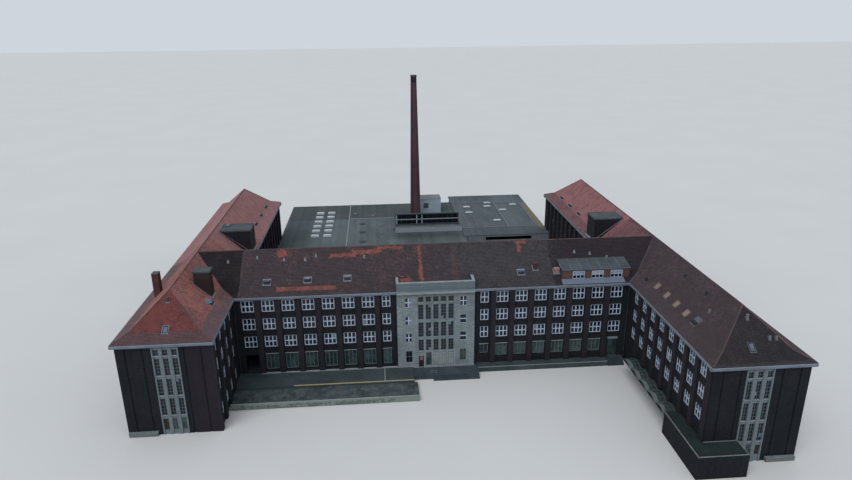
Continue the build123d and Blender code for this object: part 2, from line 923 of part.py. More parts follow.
def ledges():
    """Low plinths at the outer half of each wing front."""
    out = []
    for side in sides:
        x1 = side * (outer_x - 20)
        x0 = x1 - side * ledge_w
        y1 = wing_front_y[side]
        out.append(block(x0, x1, y1 - ledge_out, y1, 0, ledge_h))
    return out


def terrace():
    """Brick annex along the right wing's front corner, with a flat roof that is walked on."""
    outer = block(terrace_x, inner_x, terrace_front_y, terrace_side_y, 0, terrace_z)
    front = block(inner_x, terrace_front_x1, terrace_front_y, -right_wing_reach, 0, terrace_z)
    t = terrace_wall_t
    hollow = block(terrace_x + t, inner_x, terrace_front_y + t, terrace_side_y - t, 0, terrace_z - t)
    x1, y0 = terrace_front_x1 - t, terrace_front_y + t
    hollow = hollow + block(inner_x, x1, y0, -right_wing_reach, 0, terrace_z - t)
    return [outer + front - hollow]


def fence(p0, p1, z0):
    """A run of railing from p0 to p1 with posts and two rails."""
    dx, dy = p1[0] - p0[0], p1[1] - p0[1]
    length = math.hypot(dx, dy)
    turn = math.degrees(math.atan2(dy, dx))
    count = max(1, round(length / railing_pitch))
    run = None
    for i in range(count + 1):
        x = i * (length - railing_post) / count
        post = block(x, x + railing_post, 0, railing_post, 0, railing_h)
        run = post if run is None else run + post
    for z in (railing_h / 2, railing_h - railing_post):
        run = run + block(0, length, 0, railing_post, z, z + railing_post)
    return Pos(p0[0], p0[1], z0) * Rot(0, 0, turn) * run


def railings():
    t = railing_post
    x, y = terrace_x + 2 * t, terrace_front_y + t
    side_run = fence((x, terrace_front_y + 4 * t), (x, terrace_side_y), terrace_z)
    front_run = fence((terrace_x + 4 * t, y), (terrace_front_x1 - t, y), terrace_z)
    x, y0, y1 = landing_x0 + 2 * t, -landing_out + t, -pilaster_out - t
    stair_left = fence((x, y0), (x, y1), entrance_sill_z)
    stair_right = fence((landing_x1, y0), (landing_x1, y1), entrance_sill_z)
    return [side_run, front_run, stair_left, stair_right]


def canopy():
    """Ribbed canopy over the right wing's loading side: one shallow vault for each bay."""
    outline = []
    steps = range(canopy_facet_count + 1)
    foot = terrace_z - canopy_rise
    for i in range(canopy_count):
        y = terrace_side_y + i * bay
        turns = [math.pi * step / canopy_facet_count for step in steps]
        outline += [(y + bay * step / canopy_facet_count, foot + canopy_rise * math.sin(turn))
                    for step, turn in zip(steps, turns)][:-1]
    outline.append((canopy_end_y, foot))
    under = [(y, z - canopy_t) for y, z in reversed(outline)]
    return [along_x(outline + under, terrace_x, inner_x)]


# Rear hall

def hall_walls_long():
    t = hall_wall_t
    top = hall_roof_z - hall_roof_t
    far_top = far_hall_roof_z - hall_roof_t
    left = block(-inner_x, -inner_x + t, wing_rear_y, hall_rear_y, 0, top)
    court = block(hall_x - t, hall_x, block_depth, far_hall_front_y, 0, top)
    step = block(hall_x, hall_x + t, hall_rear_y, far_hall_rear_y - t, 0, far_top)
    right = block(inner_x - t, inner_x, wing_rear_y, far_hall_rear_y - t, 0, far_top)
    return [left, court, step, right]


def hall_walls_cross():
    t = hall_wall_t
    top = hall_roof_z - hall_roof_t
    far_top = far_hall_roof_z - hall_roof_t
    rear = block(-inner_x + t, hall_x, hall_rear_y - t, hall_rear_y, 0, top)
    far_rear = block(hall_x, inner_x, far_hall_rear_y - t, far_hall_rear_y, 0, far_top)
    front = block(hall_x, inner_x, far_hall_front_y, far_hall_front_y + t, 0, far_top)
    y0, y1 = far_hall_front_y - 1, far_hall_front_y + t + 1
    band = block(hall_band_x0, hall_band_x1, y0, y1, hall_band_z0, hall_band_z1)
    return [rear, far_rear, front - band]


def hall_roofs():
    low_z = hall_roof_z - hall_roof_t
    roof = block(-inner_x, hall_x, block_depth, hall_rear_y, low_z, hall_roof_z)
    ring = RegularPolygon(chimney_r_at(low_z) + pin_gap, chimney_side_count)
    hole = Pos(chimney_x, chimney_y, low_z - 1) * extrude(ring, amount=hall_roof_t + 2)
    return [roof - hole]


def far_hall_roof():
    x0 = hall_x - hall_roof_t
    low_z = far_hall_roof_z - hall_roof_t
    return [block(x0, inner_x, far_hall_front_y, far_hall_rear_y, low_z, far_hall_roof_z)]


def clerestory():
    """Raised strip of the hall with a lean-to roof, two ribbons of windows and a parapet at its foot."""
    t = clerestory_t
    y0, y1 = clerestory_y0, clerestory_y1
    outline = [(y0, hall_roof_z), (y0, clerestory_top_z), (y1, clerestory_back_z), (y1, hall_roof_z)]
    hollow = [(y0 + t, hall_roof_z), (y0 + t, clerestory_top_z - 1.5 * t),
              (y1 - t, clerestory_back_z - t), (y1 - t, hall_roof_z)]
    shell = along_x(outline, clerestory_x0, clerestory_x1)
    inner = along_x(hollow, clerestory_x0 + t, clerestory_x1 - t)
    holes = [(clerestory_x0 + t, clerestory_x1 - t, z0, z1) for z0, z1 in ribbon_rows]
    shell = cut_y(shell - inner, holes, y0, y0 + t - 2)
    parapet = block(clerestory_x0, parapet_x1, y0 - parapet_t, y0, hall_roof_z, parapet_top_z)
    return [shell + parapet]


def clerestory_glass():
    t = clerestory_t
    y0 = clerestory_y0 + t / 2
    panes = []
    for z0, z1 in ribbon_rows:
        panes.append(block(clerestory_x0 + t, clerestory_x1 - t, y0, y0 + glass_t, z0, z1))
    return panes


def plant_room():
    """Pale box on the hall roof beside the chimney."""
    return [block(plant_x0, plant_x1, plant_y0, plant_y1, hall_roof_z, plant_top_z)]


def rooflight(x, y, z):
    half_w, half_d = rooflight_w / 2, rooflight_d / 2
    return block(x - half_w, x + half_w, y - half_d, y + half_d, z, z + rooflight_h)


def hall_rooflights():
    """Rooflights on both parts of the hall, and the low kerbs that part the roofs."""
    lights = []
    for x in hall_light_xs:
        for i in range(hall_light_count):
            lights.append(rooflight(x, hall_light_y0 + i * hall_light_pitch, hall_roof_z))
    lights += [rooflight(x, y, far_hall_roof_z) for x, y in far_light_spots]
    z0, z1 = far_hall_roof_z, far_hall_roof_z + roof_kerb_h
    w = roof_kerb_w
    kerbs = block(parapet_x1 + w, roof_kerb_far_x, roof_kerb_y, roof_kerb_y + w, z0, z1)
    kerbs = kerbs + block(roof_kerb_x, roof_kerb_x + w, roof_kerb_y, roof_kerb_rear_y, z0, z1)
    kerbs = kerbs + block(roof_kerb_x, roof_kerb_far_x, roof_kerb_rear_y, roof_kerb_rear_y + w, z0, z1)
    kerbs = kerbs + block(roof_kerb_far_x - w, roof_kerb_far_x, roof_kerb_y, roof_kerb_rear_y, z0, z1)
    z0, z1 = hall_roof_z, hall_roof_z + roof_kerb_h
    left_kerbs = block(hall_kerb_x, hall_kerb_x + w, block_depth, hall_rear_y, z0, z1)
    left_kerbs = left_kerbs + block(hall_kerb_x, clerestory_x0, hall_kerb_y, hall_kerb_y + w, z0, z1)
    return lights + [kerbs, left_kerbs]


def cone(foot_r, top_r, z0, z1):
    """A many-sided tapered shaft between two heights."""
    low = Pos(0, 0, z0) * RegularPolygon(foot_r, chimney_side_count)
    high = Pos(0, 0, z1) * RegularPolygon(top_r, chimney_side_count)
    return loft([low, high], ruled=True)


def chimney():
    """Tapered many-sided shaft with a flue and a corbelled cap."""
    cap_z = chimney_top_z - chimney_cap_h
    top_out = chimney_top_r + chimney_cap_out
    corbel_z = cap_z + chimney_cap_out
    flue_top_r = chimney_top_r - chimney_wall_t
    flue_foot_r = chimney_foot_r - chimney_foot_t
    shaft = cone(chimney_foot_r, chimney_r_at(cap_z), 0, cap_z)
    shaft = shaft + cone(chimney_r_at(cap_z), top_out, cap_z, corbel_z)
    shaft = shaft + cone(top_out, top_out, corbel_z, chimney_top_z)
    flue = cone(flue_foot_r, flue_top_r, flue_foot_z, chimney_top_z)
    return [Pos(chimney_x, chimney_y, 0) * (shaft - flue)]


# Dormers, stair heads and stacks

def long_dormer():
    """Wide dormer with a nearly flat roof at the right end of the front slope."""
    edge = overhang - tile_edge
    under = along_x(under_slope(-edge, block_mid_y, 1), dormer_x0 - 2 * dormer_lid_out, wing_mid_x)
    slope = (ridge_z - cornice_top_z - kick_rise) / (block_mid_y - kick_run + edge)
    back_y = block_mid_y - (ridge_z - dormer_back_z) / slope
    outline = [(dormer_front_y, cornice_top_z), (dormer_front_y, dormer_front_z),
               (back_y + 20, dormer_back_z), (back_y + 20, cornice_top_z)]
    shell = along_x(outline, dormer_x0, dormer_x1)
    out, lid_t = dormer_lid_out, dormer_lid_t
    fall = (dormer_back_z - dormer_front_z) / (back_y + 20 - dormer_front_y)
    lid = [(dormer_front_y - out, dormer_front_z - out * fall), (back_y + 20, dormer_back_z),
           (back_y + 20, dormer_back_z + lid_t), (dormer_front_y - out, dormer_front_z - out * fall + lid_t)]
    shell = shell + along_x(lid, dormer_x0 - out, dormer_x1 + out)
    t = dormer_wall_t
    hollow = [(dormer_front_y + t, cornice_top_z - 1), (dormer_front_y + t, dormer_front_z - t),
              (back_y - 3 * t, dormer_back_z - 1.6 * t), (back_y - 3 * t, cornice_top_z - 1)]
    inner = along_x(hollow, dormer_x0 + t, dormer_x1 - t)
    shell = (shell - inner) - [under] - wing_inner_cut()
    sill = dormer_front_z - dormer_sill_above - dormer_window_h
    xs = bay_xs[-dormer_bays:]
    holes = [(x - window_w / 2, x + window_w / 2, sill, sill + dormer_window_h) for x in xs]
    return [cut_y(shell, holes, dormer_front_y, dormer_front_y + t - 2)]


def dormer_glass():
    """One sheet behind the dormer's windows."""
    sill = dormer_front_z - dormer_sill_above - dormer_window_h
    y0 = dormer_front_y + dormer_wall_t
    reach = window_w / 2 + glass_lap
    x0, x1 = bay_xs[-dormer_bays] - reach, bay_xs[-1] + reach
    return [block(x0, x1, y0, y0 + glass_t, sill + 2 * glass_lap, sill + dormer_window_h + glass_lap)]


def court_under(side, y0, y1):
    """Everything below a wing's courtyard slope between two places along it."""
    inner, outer, front, rear = wing_edges(side)
    return along_y(under_slope(side * inner, side * wing_mid_x, side), y0, y1)


def outer_under(side, y0, y1):
    inner, outer, front, rear = wing_edges(side)
    return along_y(under_slope(side * outer, side * wing_mid_x, -side), y0, y1)


def hip_under(side):
    inner, outer, front, rear = wing_edges(side)
    run = wing_mid_x - inner
    x0, x1 = sorted((side * inner, side * outer))
    return along_x(under_slope(front, front + run, 1), x0, x1)


def on_hip(side, spot):
    """A place on a wing's front hip, counted back from the wing's front."""
    return spot[0], wing_front_y[side] + spot[1]


def front_under(x0, x1):
    return along_x(under_slope(tile_edge - overhang, block_mid_y, 1), x0, x1)


def stair_heads():
    """Flat-roofed stair heads on the courtyard slopes, and a smaller one at the left front."""
    heads = []
    out = stair_lid_out
    for side in sides:
        head = block(side * stair_x0, side * stair_x1, stair_y0, stair_y1, cornice_top_z, stair_top_z)
        lid_x0, lid_x1, lid_z = side * (stair_x0 - out), side * (stair_x1 + out), stair_top_z + stair_lid_t
        lid = block(lid_x0, lid_x1, stair_y0 - out, stair_y1 + out, stair_top_z, lid_z)
        heads.append(head + lid - court_under(side, stair_y0 - 2 * out, stair_y1 + 2 * out))
    x0, x1 = -small_head_x - small_head_w, -small_head_x
    low_z = small_head_top_z - stair_lid_t
    head = block(x0, x1, small_head_y0, small_head_y1, cornice_top_z, low_z)
    lid = block(x0 - out, x1 + out, small_head_y0 - out, small_head_y1 + out, low_z, small_head_top_z)
    y0, y1 = small_head_y0 - 2 * out, small_head_y1 + 2 * out
    beyond_ridge = block(-wing_mid_x - wing_width, -wing_mid_x, y0, y1, 0, ridge_z)
    heads.append(head + lid - court_under(-1, y0, y1) - beyond_ridge)
    return heads


def upright(spot, size, under):
    """A box with a level top that stands on a slope."""
    (x, y), (w, d, h) = spot, size
    foot = block(x - w / 2, x + w / 2, y - d / 2, y + d / 2, cornice_top_z, ridge_z * 2) - under
    low_z = foot.bounding_box().min.Z
    return foot & block(x - w, x + w, y - d, y + d, low_z, low_z + h)


def flat_on(spot, size, h, under):
    """A thin panel that lies on a slope."""
    (x, y), (w, d) = spot, size
    tall = block(x - w / 2, x + w / 2, y - d / 2, y + d / 2, cornice_top_z, ridge_z * 2)
    return (tall & (Pos(0, 0, h) * under)) - under


def roof_hatches():
    """Hatches, roof windows, vents and stacks on the tiled slopes."""
    found = []
    front = front_under(-inner_x, inner_x)
    found += [upright(spot, hatch_size, front) for spot in front_hatches]
    found.append(upright(short_stack, short_stack_size, front))
    found.append(upright(pink_box, pink_box_size, front))
    court = {side: court_under(side, wing_front_y[side], wing_rear_y) for side in sides}
    hips = {side: hip_under(side) for side in sides}
    found.append(upright(left_hatch, left_hatch_size, court[-1]))
    found.append(upright(right_hatch, left_hatch_size, court[1]))
    (x, y), (w, d) = tall_stack, tall_stack_size
    stack = block(x - w / 2, x + w / 2, y - d / 2, y + d / 2, cornice_top_z, tall_stack_top_z)
    found.append(stack - outer_under(-1, y - d, y + d))
    for y in slope_window_ys:
        found.append(flat_on((slope_window_x, y), slope_window_size, slope_window_h, court[1]))
    found.append(flat_on(on_hip(-1, left_hip_window), hip_window_size, hip_window_h, hips[-1]))
    found.append(flat_on(on_hip(1, right_hip_window), hip_window_size, hip_window_h, hips[1]))
    vent = (vent_w, vent_w, vent_h)
    found.append(upright(on_hip(-1, left_hip_vent), vent, hips[-1]))
    found += [upright(spot, vent, court[1]) for spot in right_slope_vents]
    found += [upright(on_hip(1, spot), vent, hips[1]) for spot in right_hip_vents]
    for side in sides:
        found += [upright((side * rear_hatch_x, y), rear_hatch_size, court[side]) for y in rear_hatch_ys]
    return found


def main():
    os.makedirs("parts", exist_ok=True)
    write("front_upper_walls", front_upper_walls())
    write("front_ground_walls", front_ground_walls())
    write("door_surrounds", entrance_frame() + stone_door_frame() + wing_door_sills())
    write("rear_walls", block_rear_wall() + wing_rear_walls())
    write("stone_fronts", stone_front() + stone_fins() + wing_stone_panels() + wing_piers())
    write("stone_bases", stone_base() + wing_stone_bases())
    write("wing_inner_walls", wing_inner_walls())
    write("wing_outer_walls", wing_outer_walls())
    write("wing_front_walls", wing_front_walls())
    write("block_floors", block_floors())
    write("wing_floors", wing_floors())
    write("front_pilasters", front_pilasters())
    write("wing_pilasters", wing_pilasters())
    write("cornice_ends", cornice_ends())
    write("cornice_sides", cornice_sides())
    write("roof_left_slopes", roof_sides(-1))
    write("roof_right_slopes", roof_sides(1))
    write("roof_front_slopes", wing_hips(-1) + [block_slope(-1)])
    write("roof_rear_slopes", wing_hips(1) + [block_slope(1)])
    write("stone_attic", attic())
    write("stone_front_door", stone_door())
    write("entrance_door_left", entrance_door(-1))
    write("entrance_door_right", entrance_door(1))
    write("left_wing_door", wing_door(-1))
    write("right_wing_door", wing_door(1))
    write("front_glass", glass_front())
    write("wing_glass", glass_wings())
    write("strip_glass", strip_glass() + clerestory_glass() + dormer_glass())
    write("loading_docks", loading_docks())
    write("outside_steps", apron() + entrance_stair() + ledges())
    write("terrace", terrace())
    write("railings", railings())
    write("loading_canopy", canopy())
    write("hall_side_walls", hall_walls_long())
    write("hall_end_walls", hall_walls_cross())
    write("hall_roof", hall_roofs())
    write("far_hall_roof", far_hall_roof())
    write("clerestory", clerestory())
    write("plant_room", plant_room())
    write("hall_rooflights", hall_rooflights())
    write("chimney", chimney())
    write("long_dormer", long_dormer())
    write("stair_heads", stair_heads())
    write("roof_hatches", roof_hatches())


main()
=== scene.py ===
import bpy
import math
import random
from mathutils import Matrix, Vector


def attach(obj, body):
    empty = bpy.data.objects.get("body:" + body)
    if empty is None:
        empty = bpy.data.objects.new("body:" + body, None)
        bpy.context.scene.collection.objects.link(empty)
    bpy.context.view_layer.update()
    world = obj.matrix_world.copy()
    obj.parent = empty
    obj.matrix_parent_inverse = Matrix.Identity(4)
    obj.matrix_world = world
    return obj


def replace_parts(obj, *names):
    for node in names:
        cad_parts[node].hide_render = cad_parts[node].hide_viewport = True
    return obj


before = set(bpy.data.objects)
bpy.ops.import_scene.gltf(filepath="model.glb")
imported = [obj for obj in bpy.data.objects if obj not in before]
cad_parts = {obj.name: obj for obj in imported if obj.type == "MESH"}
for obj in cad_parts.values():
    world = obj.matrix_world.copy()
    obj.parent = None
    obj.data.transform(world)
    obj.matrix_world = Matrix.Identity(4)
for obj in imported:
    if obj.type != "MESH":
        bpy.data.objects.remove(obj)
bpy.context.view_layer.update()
random.seed(11)
up = Vector((0, 0, 1))
sides = (-1, 1)


def pick(look, names):
    # several settings of a dictionary at once
    return [look[name] for name in names.split()]


# Plan and levels of the building in metres; y counts from the front wall and is shifted when placed.
# skin and proud are how far trim stands off the faces of the CAD part.
layout = {"shiftY": -3.5, "bay": 0.4, "bayXs": [1.374 + 0.4 * i for i in range(7)], "narrowX": 1.008,
          "innerX": 4.062, "outerX": 5.678, "wingMidX": 4.870, "panelMidX": 4.840, "blockDepth": 1.864,
          "frontY": {-1: -1.819, 1: -3.474}, "rearY": 6.980, "firstBayY": -0.395,
          "floors": [0.606, 0.999, 1.392], "sill": 0.09, "groundSill": 0.19, "windowW": 0.25,
          "narrowW": 0.17, "windowH": 0.25, "wallTop": 1.744, "corniceTop": 1.819, "ridge": 2.479,
          "overhang": 0.05, "deckZ": 0.105, "hallZ": 0.780, "farHallZ": 0.810, "skin": 0.0003,
          "proud": 0.0005}
shiftY, bay, bayXs, narrowX, windowW = pick(layout, "shiftY bay bayXs narrowX windowW")
innerX, outerX, wingMidX, blockDepth = pick(layout, "innerX outerX wingMidX blockDepth")
frontY, rearY, topZ, ridge, overhang = pick(layout, "frontY rearY corniceTop ridge overhang")
deckZ, hallZ, farHallZ, skin, proud = pick(layout, "deckZ hallZ farHallZ skin proud")


# Plain mesh lists: each piece gathers corners and faces, then becomes one object

def newShape():
    return {"verts": [], "faces": [], "uvs": []}


def newShapes(count):
    return [newShape() for i in range(count)]


def addFace(shape, points, uvs=None):
    start = len(shape["verts"])
    shape["verts"] += [tuple(p) for p in points]
    shape["faces"].append(tuple(range(start, start + len(points))))
    shape["uvs"].append(uvs or [(0, 0)] * len(points))


def addHull(shape, low, high, turn=1):
    # a closed box from four corners below and the four above them, both in the same order
    start = len(shape["verts"])
    shape["verts"] += [tuple(p) for p in (*low, *high)]
    for quad in ((3, 2, 1, 0), (4, 5, 6, 7), (0, 1, 5, 4), (1, 2, 6, 5), (2, 3, 7, 6), (3, 0, 4, 7)):
        shape["faces"].append(tuple(start + i for i in (quad if turn > 0 else quad[::-1])))
        shape["uvs"].append([(0, 0)] * 4)


def wallFrame(x, y, along, out):
    # a wall's own axes: u along it, v up it and n out of it
    along, out = Vector(along), Vector(out)
    turn = 1 if along.cross(up).dot(out) > 0 else -1
    return {"origin": Vector((x, shiftY + y, 0)), "along": along, "out": out, "turn": turn}


def frontWall(y, x=0):
    return wallFrame(x, y, (1, 0, 0), (0, -1, 0))


def rearWall(y, x=0):
    return wallFrame(x, y, (1, 0, 0), (0, 1, 0))


def sideWall(x, out):
    return wallFrame(x, 0, (0, 1, 0), (out, 0, 0))


def onWall(wall, u, v, n):
    return wall["origin"] + wall["along"] * u + wall["out"] * n + up * v


def at(x, y, z):
    return Vector((x, shiftY + y, z))


def addBlock(shape, wall, u0, u1, v0, v1, n0, n1):
    low, high = [[onWall(wall, u, v, n) for u, v in ((u0, v0), (u1, v0), (u1, v1), (u0, v1))]
                 for n in (n0, n1)]
    addHull(shape, low, high, wall["turn"])


blockFront, blockRear = frontWall(0), rearWall(blockDepth)


def addBox(shape, x0, x1, y0, y1, z0, z1):
    addBlock(shape, blockFront, x0, x1, z0, z1, -y1, -y0)


def rimOf(u0, u1, v0, v1, w):
    # the four strips round the edge of a rectangle
    return ((u0, u0 + w, v0, v1), (u1 - w, u1, v0, v1), (u0 + w, u1 - w, v0, v0 + w),
            (u0 + w, u1 - w, v1 - w, v1))


def rimAcross(x0, x1, y0, y1, w):
    # the same, with the strips along x at full length
    return [(a0, a1, b0, b1) for b0, b1, a0, a1 in rimOf(y0, y1, x0, x1, w)]


def span(s, a, b):
    # two places mirrored to a side, the lower first
    return sorted((s * a, s * b))


def addBar(shape, a, b, wide, high):
    # a square bar laid from a to b, standing on the line between them
    axis = (b - a).normalized()
    side = axis.cross(up).normalized() * wide / 2
    rise = side.cross(axis).normalized() * high
    low = [a - side, a + side, b + side, b - side]
    addHull(shape, low, [p + rise for p in low])


def addTube(shape, a, b, radius, count=8, radiusEnd=None):
    a, b = Vector(a), Vector(b)
    axis = (b - a).normalized()
    side = axis.cross(up if abs(axis.z) < 0.9 else Vector((1, 0, 0))).normalized()
    other = axis.cross(side)
    turns = [2 * math.pi * i / count for i in range(count)]
    ends = ((a, radius), (b, radius if radiusEnd is None else radiusEnd))
    near, far = [[p + side * r * math.cos(t) + other * r * math.sin(t) for t in turns] for p, r in ends]
    for i in range(count):
        j = (i + 1) % count
        addFace(shape, [near[i], near[j], far[j], far[i]])
    addFace(shape, near[::-1])
    addFace(shape, far)


def addTurned(shape, centre, profile, count):
    # a closed ring turned about an upright axis: profile is (radius, height), outside first
    x, y = centre
    for k, (r0, z0) in enumerate(profile):
        r1, z1 = profile[(k + 1) % len(profile)]
        for i in range(count):
            t0, t1 = 2 * math.pi * i / count, 2 * math.pi * (i + 1) / count
            points = [(r0, t0, z0), (r0, t1, z0), (r1, t1, z1), (r1, t0, z1)]
            points = [(x + r * math.cos(t), y + r * math.sin(t), z) for r, t, z in points]
            addFace(shape, points[1:] if r0 < 0.0001 else points[:3] if r1 < 0.0001 else points)


def addVent(shape, x, y, foot, top, look):
    # a pipe under a tapered hood
    pipeCount, hoodCount = look["counts"]
    addTube(shape, at(x, y, foot), at(x, y, top), look["radius"], pipeCount)
    addTube(shape, at(x, y, top), at(x, y, top + look["hoodH"]), look["hood"], hoodCount, look["tip"])


def makePiece(name, shape, material, slot=None, body="building"):
    mesh = bpy.data.meshes.new(name)
    mesh.from_pydata(shape["verts"], [], shape["faces"])
    layer = mesh.uv_layers.new(name="place")
    layer.data.foreach_set("uv", [c for corners in shape["uvs"] for uv in corners for c in uv])
    mesh.materials.append(material)
    mesh.update()
    piece = bpy.data.objects.new(name, mesh)
    bpy.context.scene.collection.objects.link(piece)
    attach(piece, body)
    return piece


def makePieces(*rows):
    for row in rows:
        makePiece(*row)


# Shader helpers

def feed(tree, node, ins):
    # links the sockets given, and sets the plain values
    for name, value in ins.items():
        if isinstance(value, bpy.types.NodeSocket):
            tree.links.new(value, node.inputs[name])
        else:
            node.inputs[name].default_value = value
    return node


def put(tree, kind, props=None, ins=None):
    made = tree.nodes.new("ShaderNode" + kind)
    for name, value in (props or {}).items():
        setattr(made, name, value)
    return feed(tree, made, ins or {})


def mixColor(tree, amount, a, b, blend="MIX"):
    return put(tree, "Mix", {"data_type": "RGBA", "blend_type": blend}, {0: amount, 6: a, 7: b}).outputs[2]


def maths(tree, operation, a, b=0.5, c=0.5):
    return put(tree, "Math", {"operation": operation}, {0: a, 1: b, 2: c}).outputs[0]


def times(tree, a, b):
    return maths(tree, "MULTIPLY", a, b)


def plus(tree, a, b):
    return maths(tree, "ADD", a, b)


def minus(tree, a, b):
    return maths(tree, "SUBTRACT", a, b)


def vectorMaths(tree, operation, a, b=None):
    ins = {0: a} if b is None else {0: a, 1: b}
    return put(tree, "VectorMath", {"operation": operation}, ins).outputs[0]


def joined(tree, x, y, z=0.0):
    return put(tree, "CombineXYZ", None, {0: x, 1: y, 2: z}).outputs[0]


def parted(tree, vector):
    return put(tree, "SeparateXYZ", None, {0: vector}).outputs


def spread(tree, value, low, high, toLow=0.0, toHigh=1.0):
    return put(tree, "MapRange", None, {"Value": value, "From Min": low, "From Max": high, "To Min": toLow,
                                        "To Max": toHigh}).outputs[0]


def noiseAt(tree, vector, scale, detail=3.0, rough=0.55):
    return put(tree, "TexNoise", None, {"Vector": vector, "Scale": scale, "Detail": detail,
                                        "Roughness": rough}).outputs["Fac"]


def whiteNoise(tree, dimensions, ins):
    return put(tree, "TexWhiteNoise", {"noise_dimensions": dimensions}, ins).outputs["Value"]


def shadeBy(tree, color, shade):
    return mixColor(tree, 1.0, color, joined(tree, shade, shade, shade), "MULTIPLY")


def rgb(tone):
    # a colour given as it looks on screen, 0 to 255
    parts = [c / 255 for c in tone]
    return (*[c / 12.92 if c <= 0.04045 else ((c + 0.055) / 1.055) ** 2.4 for c in parts], 1)


def newGroup(name, ins, outs):
    kinds = {4: "NodeSocketColor", 3: "NodeSocketVector"}
    group = bpy.data.node_groups.new(name, "ShaderNodeTree")
    for label, value in ins.items():
        kind = kinds[len(value)] if isinstance(value, tuple) else "NodeSocketFloat"
        group.interface.new_socket(name=label, in_out="INPUT", socket_type=kind).default_value = value
    for label in outs:
        kind = "NodeSocketColor" if label == "Color" else "NodeSocketFloat"
        group.interface.new_socket(name=label, in_out="OUTPUT", socket_type=kind)
    return group, group.nodes.new("NodeGroupInput").outputs, group.nodes.new("NodeGroupOutput")


def objectPlace(tree):
    return put(tree, "TexCoord").outputs["Object"]


def wallPlace(tree):
    # x + y runs along every wall of the plan, z up it
    parts = parted(tree, objectPlace(tree))
    return joined(tree, plus(tree, parts[0], parts[1]), parts[2])


chimneyLook = {"centre": (0.122, shiftY + 8.600), "courseR": 0.13, "top": 5.350, "footR": 0.186,
               "topR": 0.090, "capH": 0.060, "capOut": 0.009, "flueTop": 0.056, "flueFoot": 0.118,
               "flueZ": 0.060, "ringZs": (5.255, 5.200, 5.145), "ringH": 0.012, "ringOut": 0.003,
               "count": 48}


def shaftPlace(tree):
    # round the chimney's shaft
    x, y = chimneyLook["centre"]
    parts = parted(tree, objectPlace(tree))
    turn = maths(tree, "ARCTAN2", minus(tree, parts[1], y), minus(tree, parts[0], x))
    return joined(tree, times(tree, turn, chimneyLook["courseR"]), parts[2])


def makeMasonryGroup():
    # courses of bricks or stones with joints, one tint a brick, and weather over the whole wall
    group, gin, gout = newGroup("masonry", {
        "Place": (0.0, 0.0, 0.0), "Light": (0.3, 0.2, 0.2, 1), "Dark": (0.1, 0.1, 0.1, 1),
        "Joint": (0.2, 0.2, 0.2, 1), "Length": 0.025, "Course": 0.0075, "Joint Width": 0.0009,
        "Soot": (0.02, 0.02, 0.03, 1), "Soot Amount": 0.5, "Patch Scale": 1.6},
        ("Color", "Height", "Soot Mask"))
    bricks = put(group, "TexBrick", {"offset": 0.5}, {
        "Vector": gin["Place"], "Color1": gin["Light"], "Color2": gin["Dark"], "Mortar": gin["Joint"],
        "Scale": 1.0, "Mortar Size": gin["Joint Width"], "Mortar Smooth": 0.2, "Bias": 0.0,
        "Brick Width": gin["Length"], "Row Height": gin["Course"]})
    where = objectPlace(group)
    patches = noiseAt(group, where, gin["Patch Scale"], 4.0, 0.6)
    streaks = noiseAt(group, vectorMaths(group, "MULTIPLY", where, (7.0, 7.0, 0.7)), 1.3, 4.0, 0.65)
    both = times(group, plus(group, patches, streaks), 0.5)
    mask = times(group, spread(group, both, 0.38, 0.64), gin["Soot Amount"])
    feed(group, gout, {"Color": mixColor(group, mask, bricks.outputs["Color"], gin["Soot"]),
                       "Height": minus(group, 1.0, bricks.outputs["Fac"]), "Soot Mask": mask})
    return group


def makeGrimeGroup():
    # broad stains and fine specks for decks, felt, render, metal and paint
    group, gin, gout = newGroup("grime", {
        "Clean": (0.5, 0.5, 0.5, 1), "Stain": (0.2, 0.2, 0.2, 1), "Speck": (0.1, 0.1, 0.1, 1),
        "Stain Scale": 1.5, "Speck Scale": 30.0, "Amount": 0.7, "Stretch": (1.0, 1.0, 1.0)},
        ("Color", "Height", "Stain Mask"))
    where = vectorMaths(group, "MULTIPLY", objectPlace(group), gin["Stretch"])
    broad = spread(group, noiseAt(group, where, gin["Stain Scale"], 5.0, 0.65), 0.4, 0.66)
    broad = times(group, broad, gin["Amount"])
    fine = noiseAt(group, where, gin["Speck Scale"], 3.0, 0.6)
    specks = times(group, spread(group, fine, 0.56, 0.7), times(group, broad, 0.6))
    color = mixColor(group, broad, gin["Clean"], gin["Stain"])
    feed(group, gout, {"Color": mixColor(group, specks, color, gin["Speck"]), "Height": fine,
                       "Stain Mask": broad})
    return group


def makeTileToneGroup():
    # older and newer tiles in drifts, one tint a tile from the UV counted in tiles
    group, gin, gout = newGroup("tileTone", {
        "Fresh": (0.5, 0.2, 0.1, 1), "Aged": (0.2, 0.1, 0.1, 1), "Fresh Share": 0.2, "Broad Scale": 1.2},
        ("Color", "Tint", "Across"))
    parts = parted(group, put(group, "TexCoord").outputs["UV"])
    tint = whiteNoise(group, "3D", {"Vector": joined(group, maths(group, "FLOOR", parts[0]),
                                                     maths(group, "FLOOR", parts[1]))})
    broad = noiseAt(group, objectPlace(group), gin["Broad Scale"], 5.0, 0.62)
    age = plus(group, times(group, tint, 0.22), times(group, broad, 0.78))
    low = minus(group, 0.72, times(group, gin["Fresh Share"], 0.5))
    fresh = spread(group, age, low, plus(group, low, 0.1))
    feed(group, gout, {"Color": mixColor(group, fresh, gin["Aged"], gin["Fresh"]), "Tint": tint,
                       "Across": maths(group, "FRACT", parts[0])})
    return group


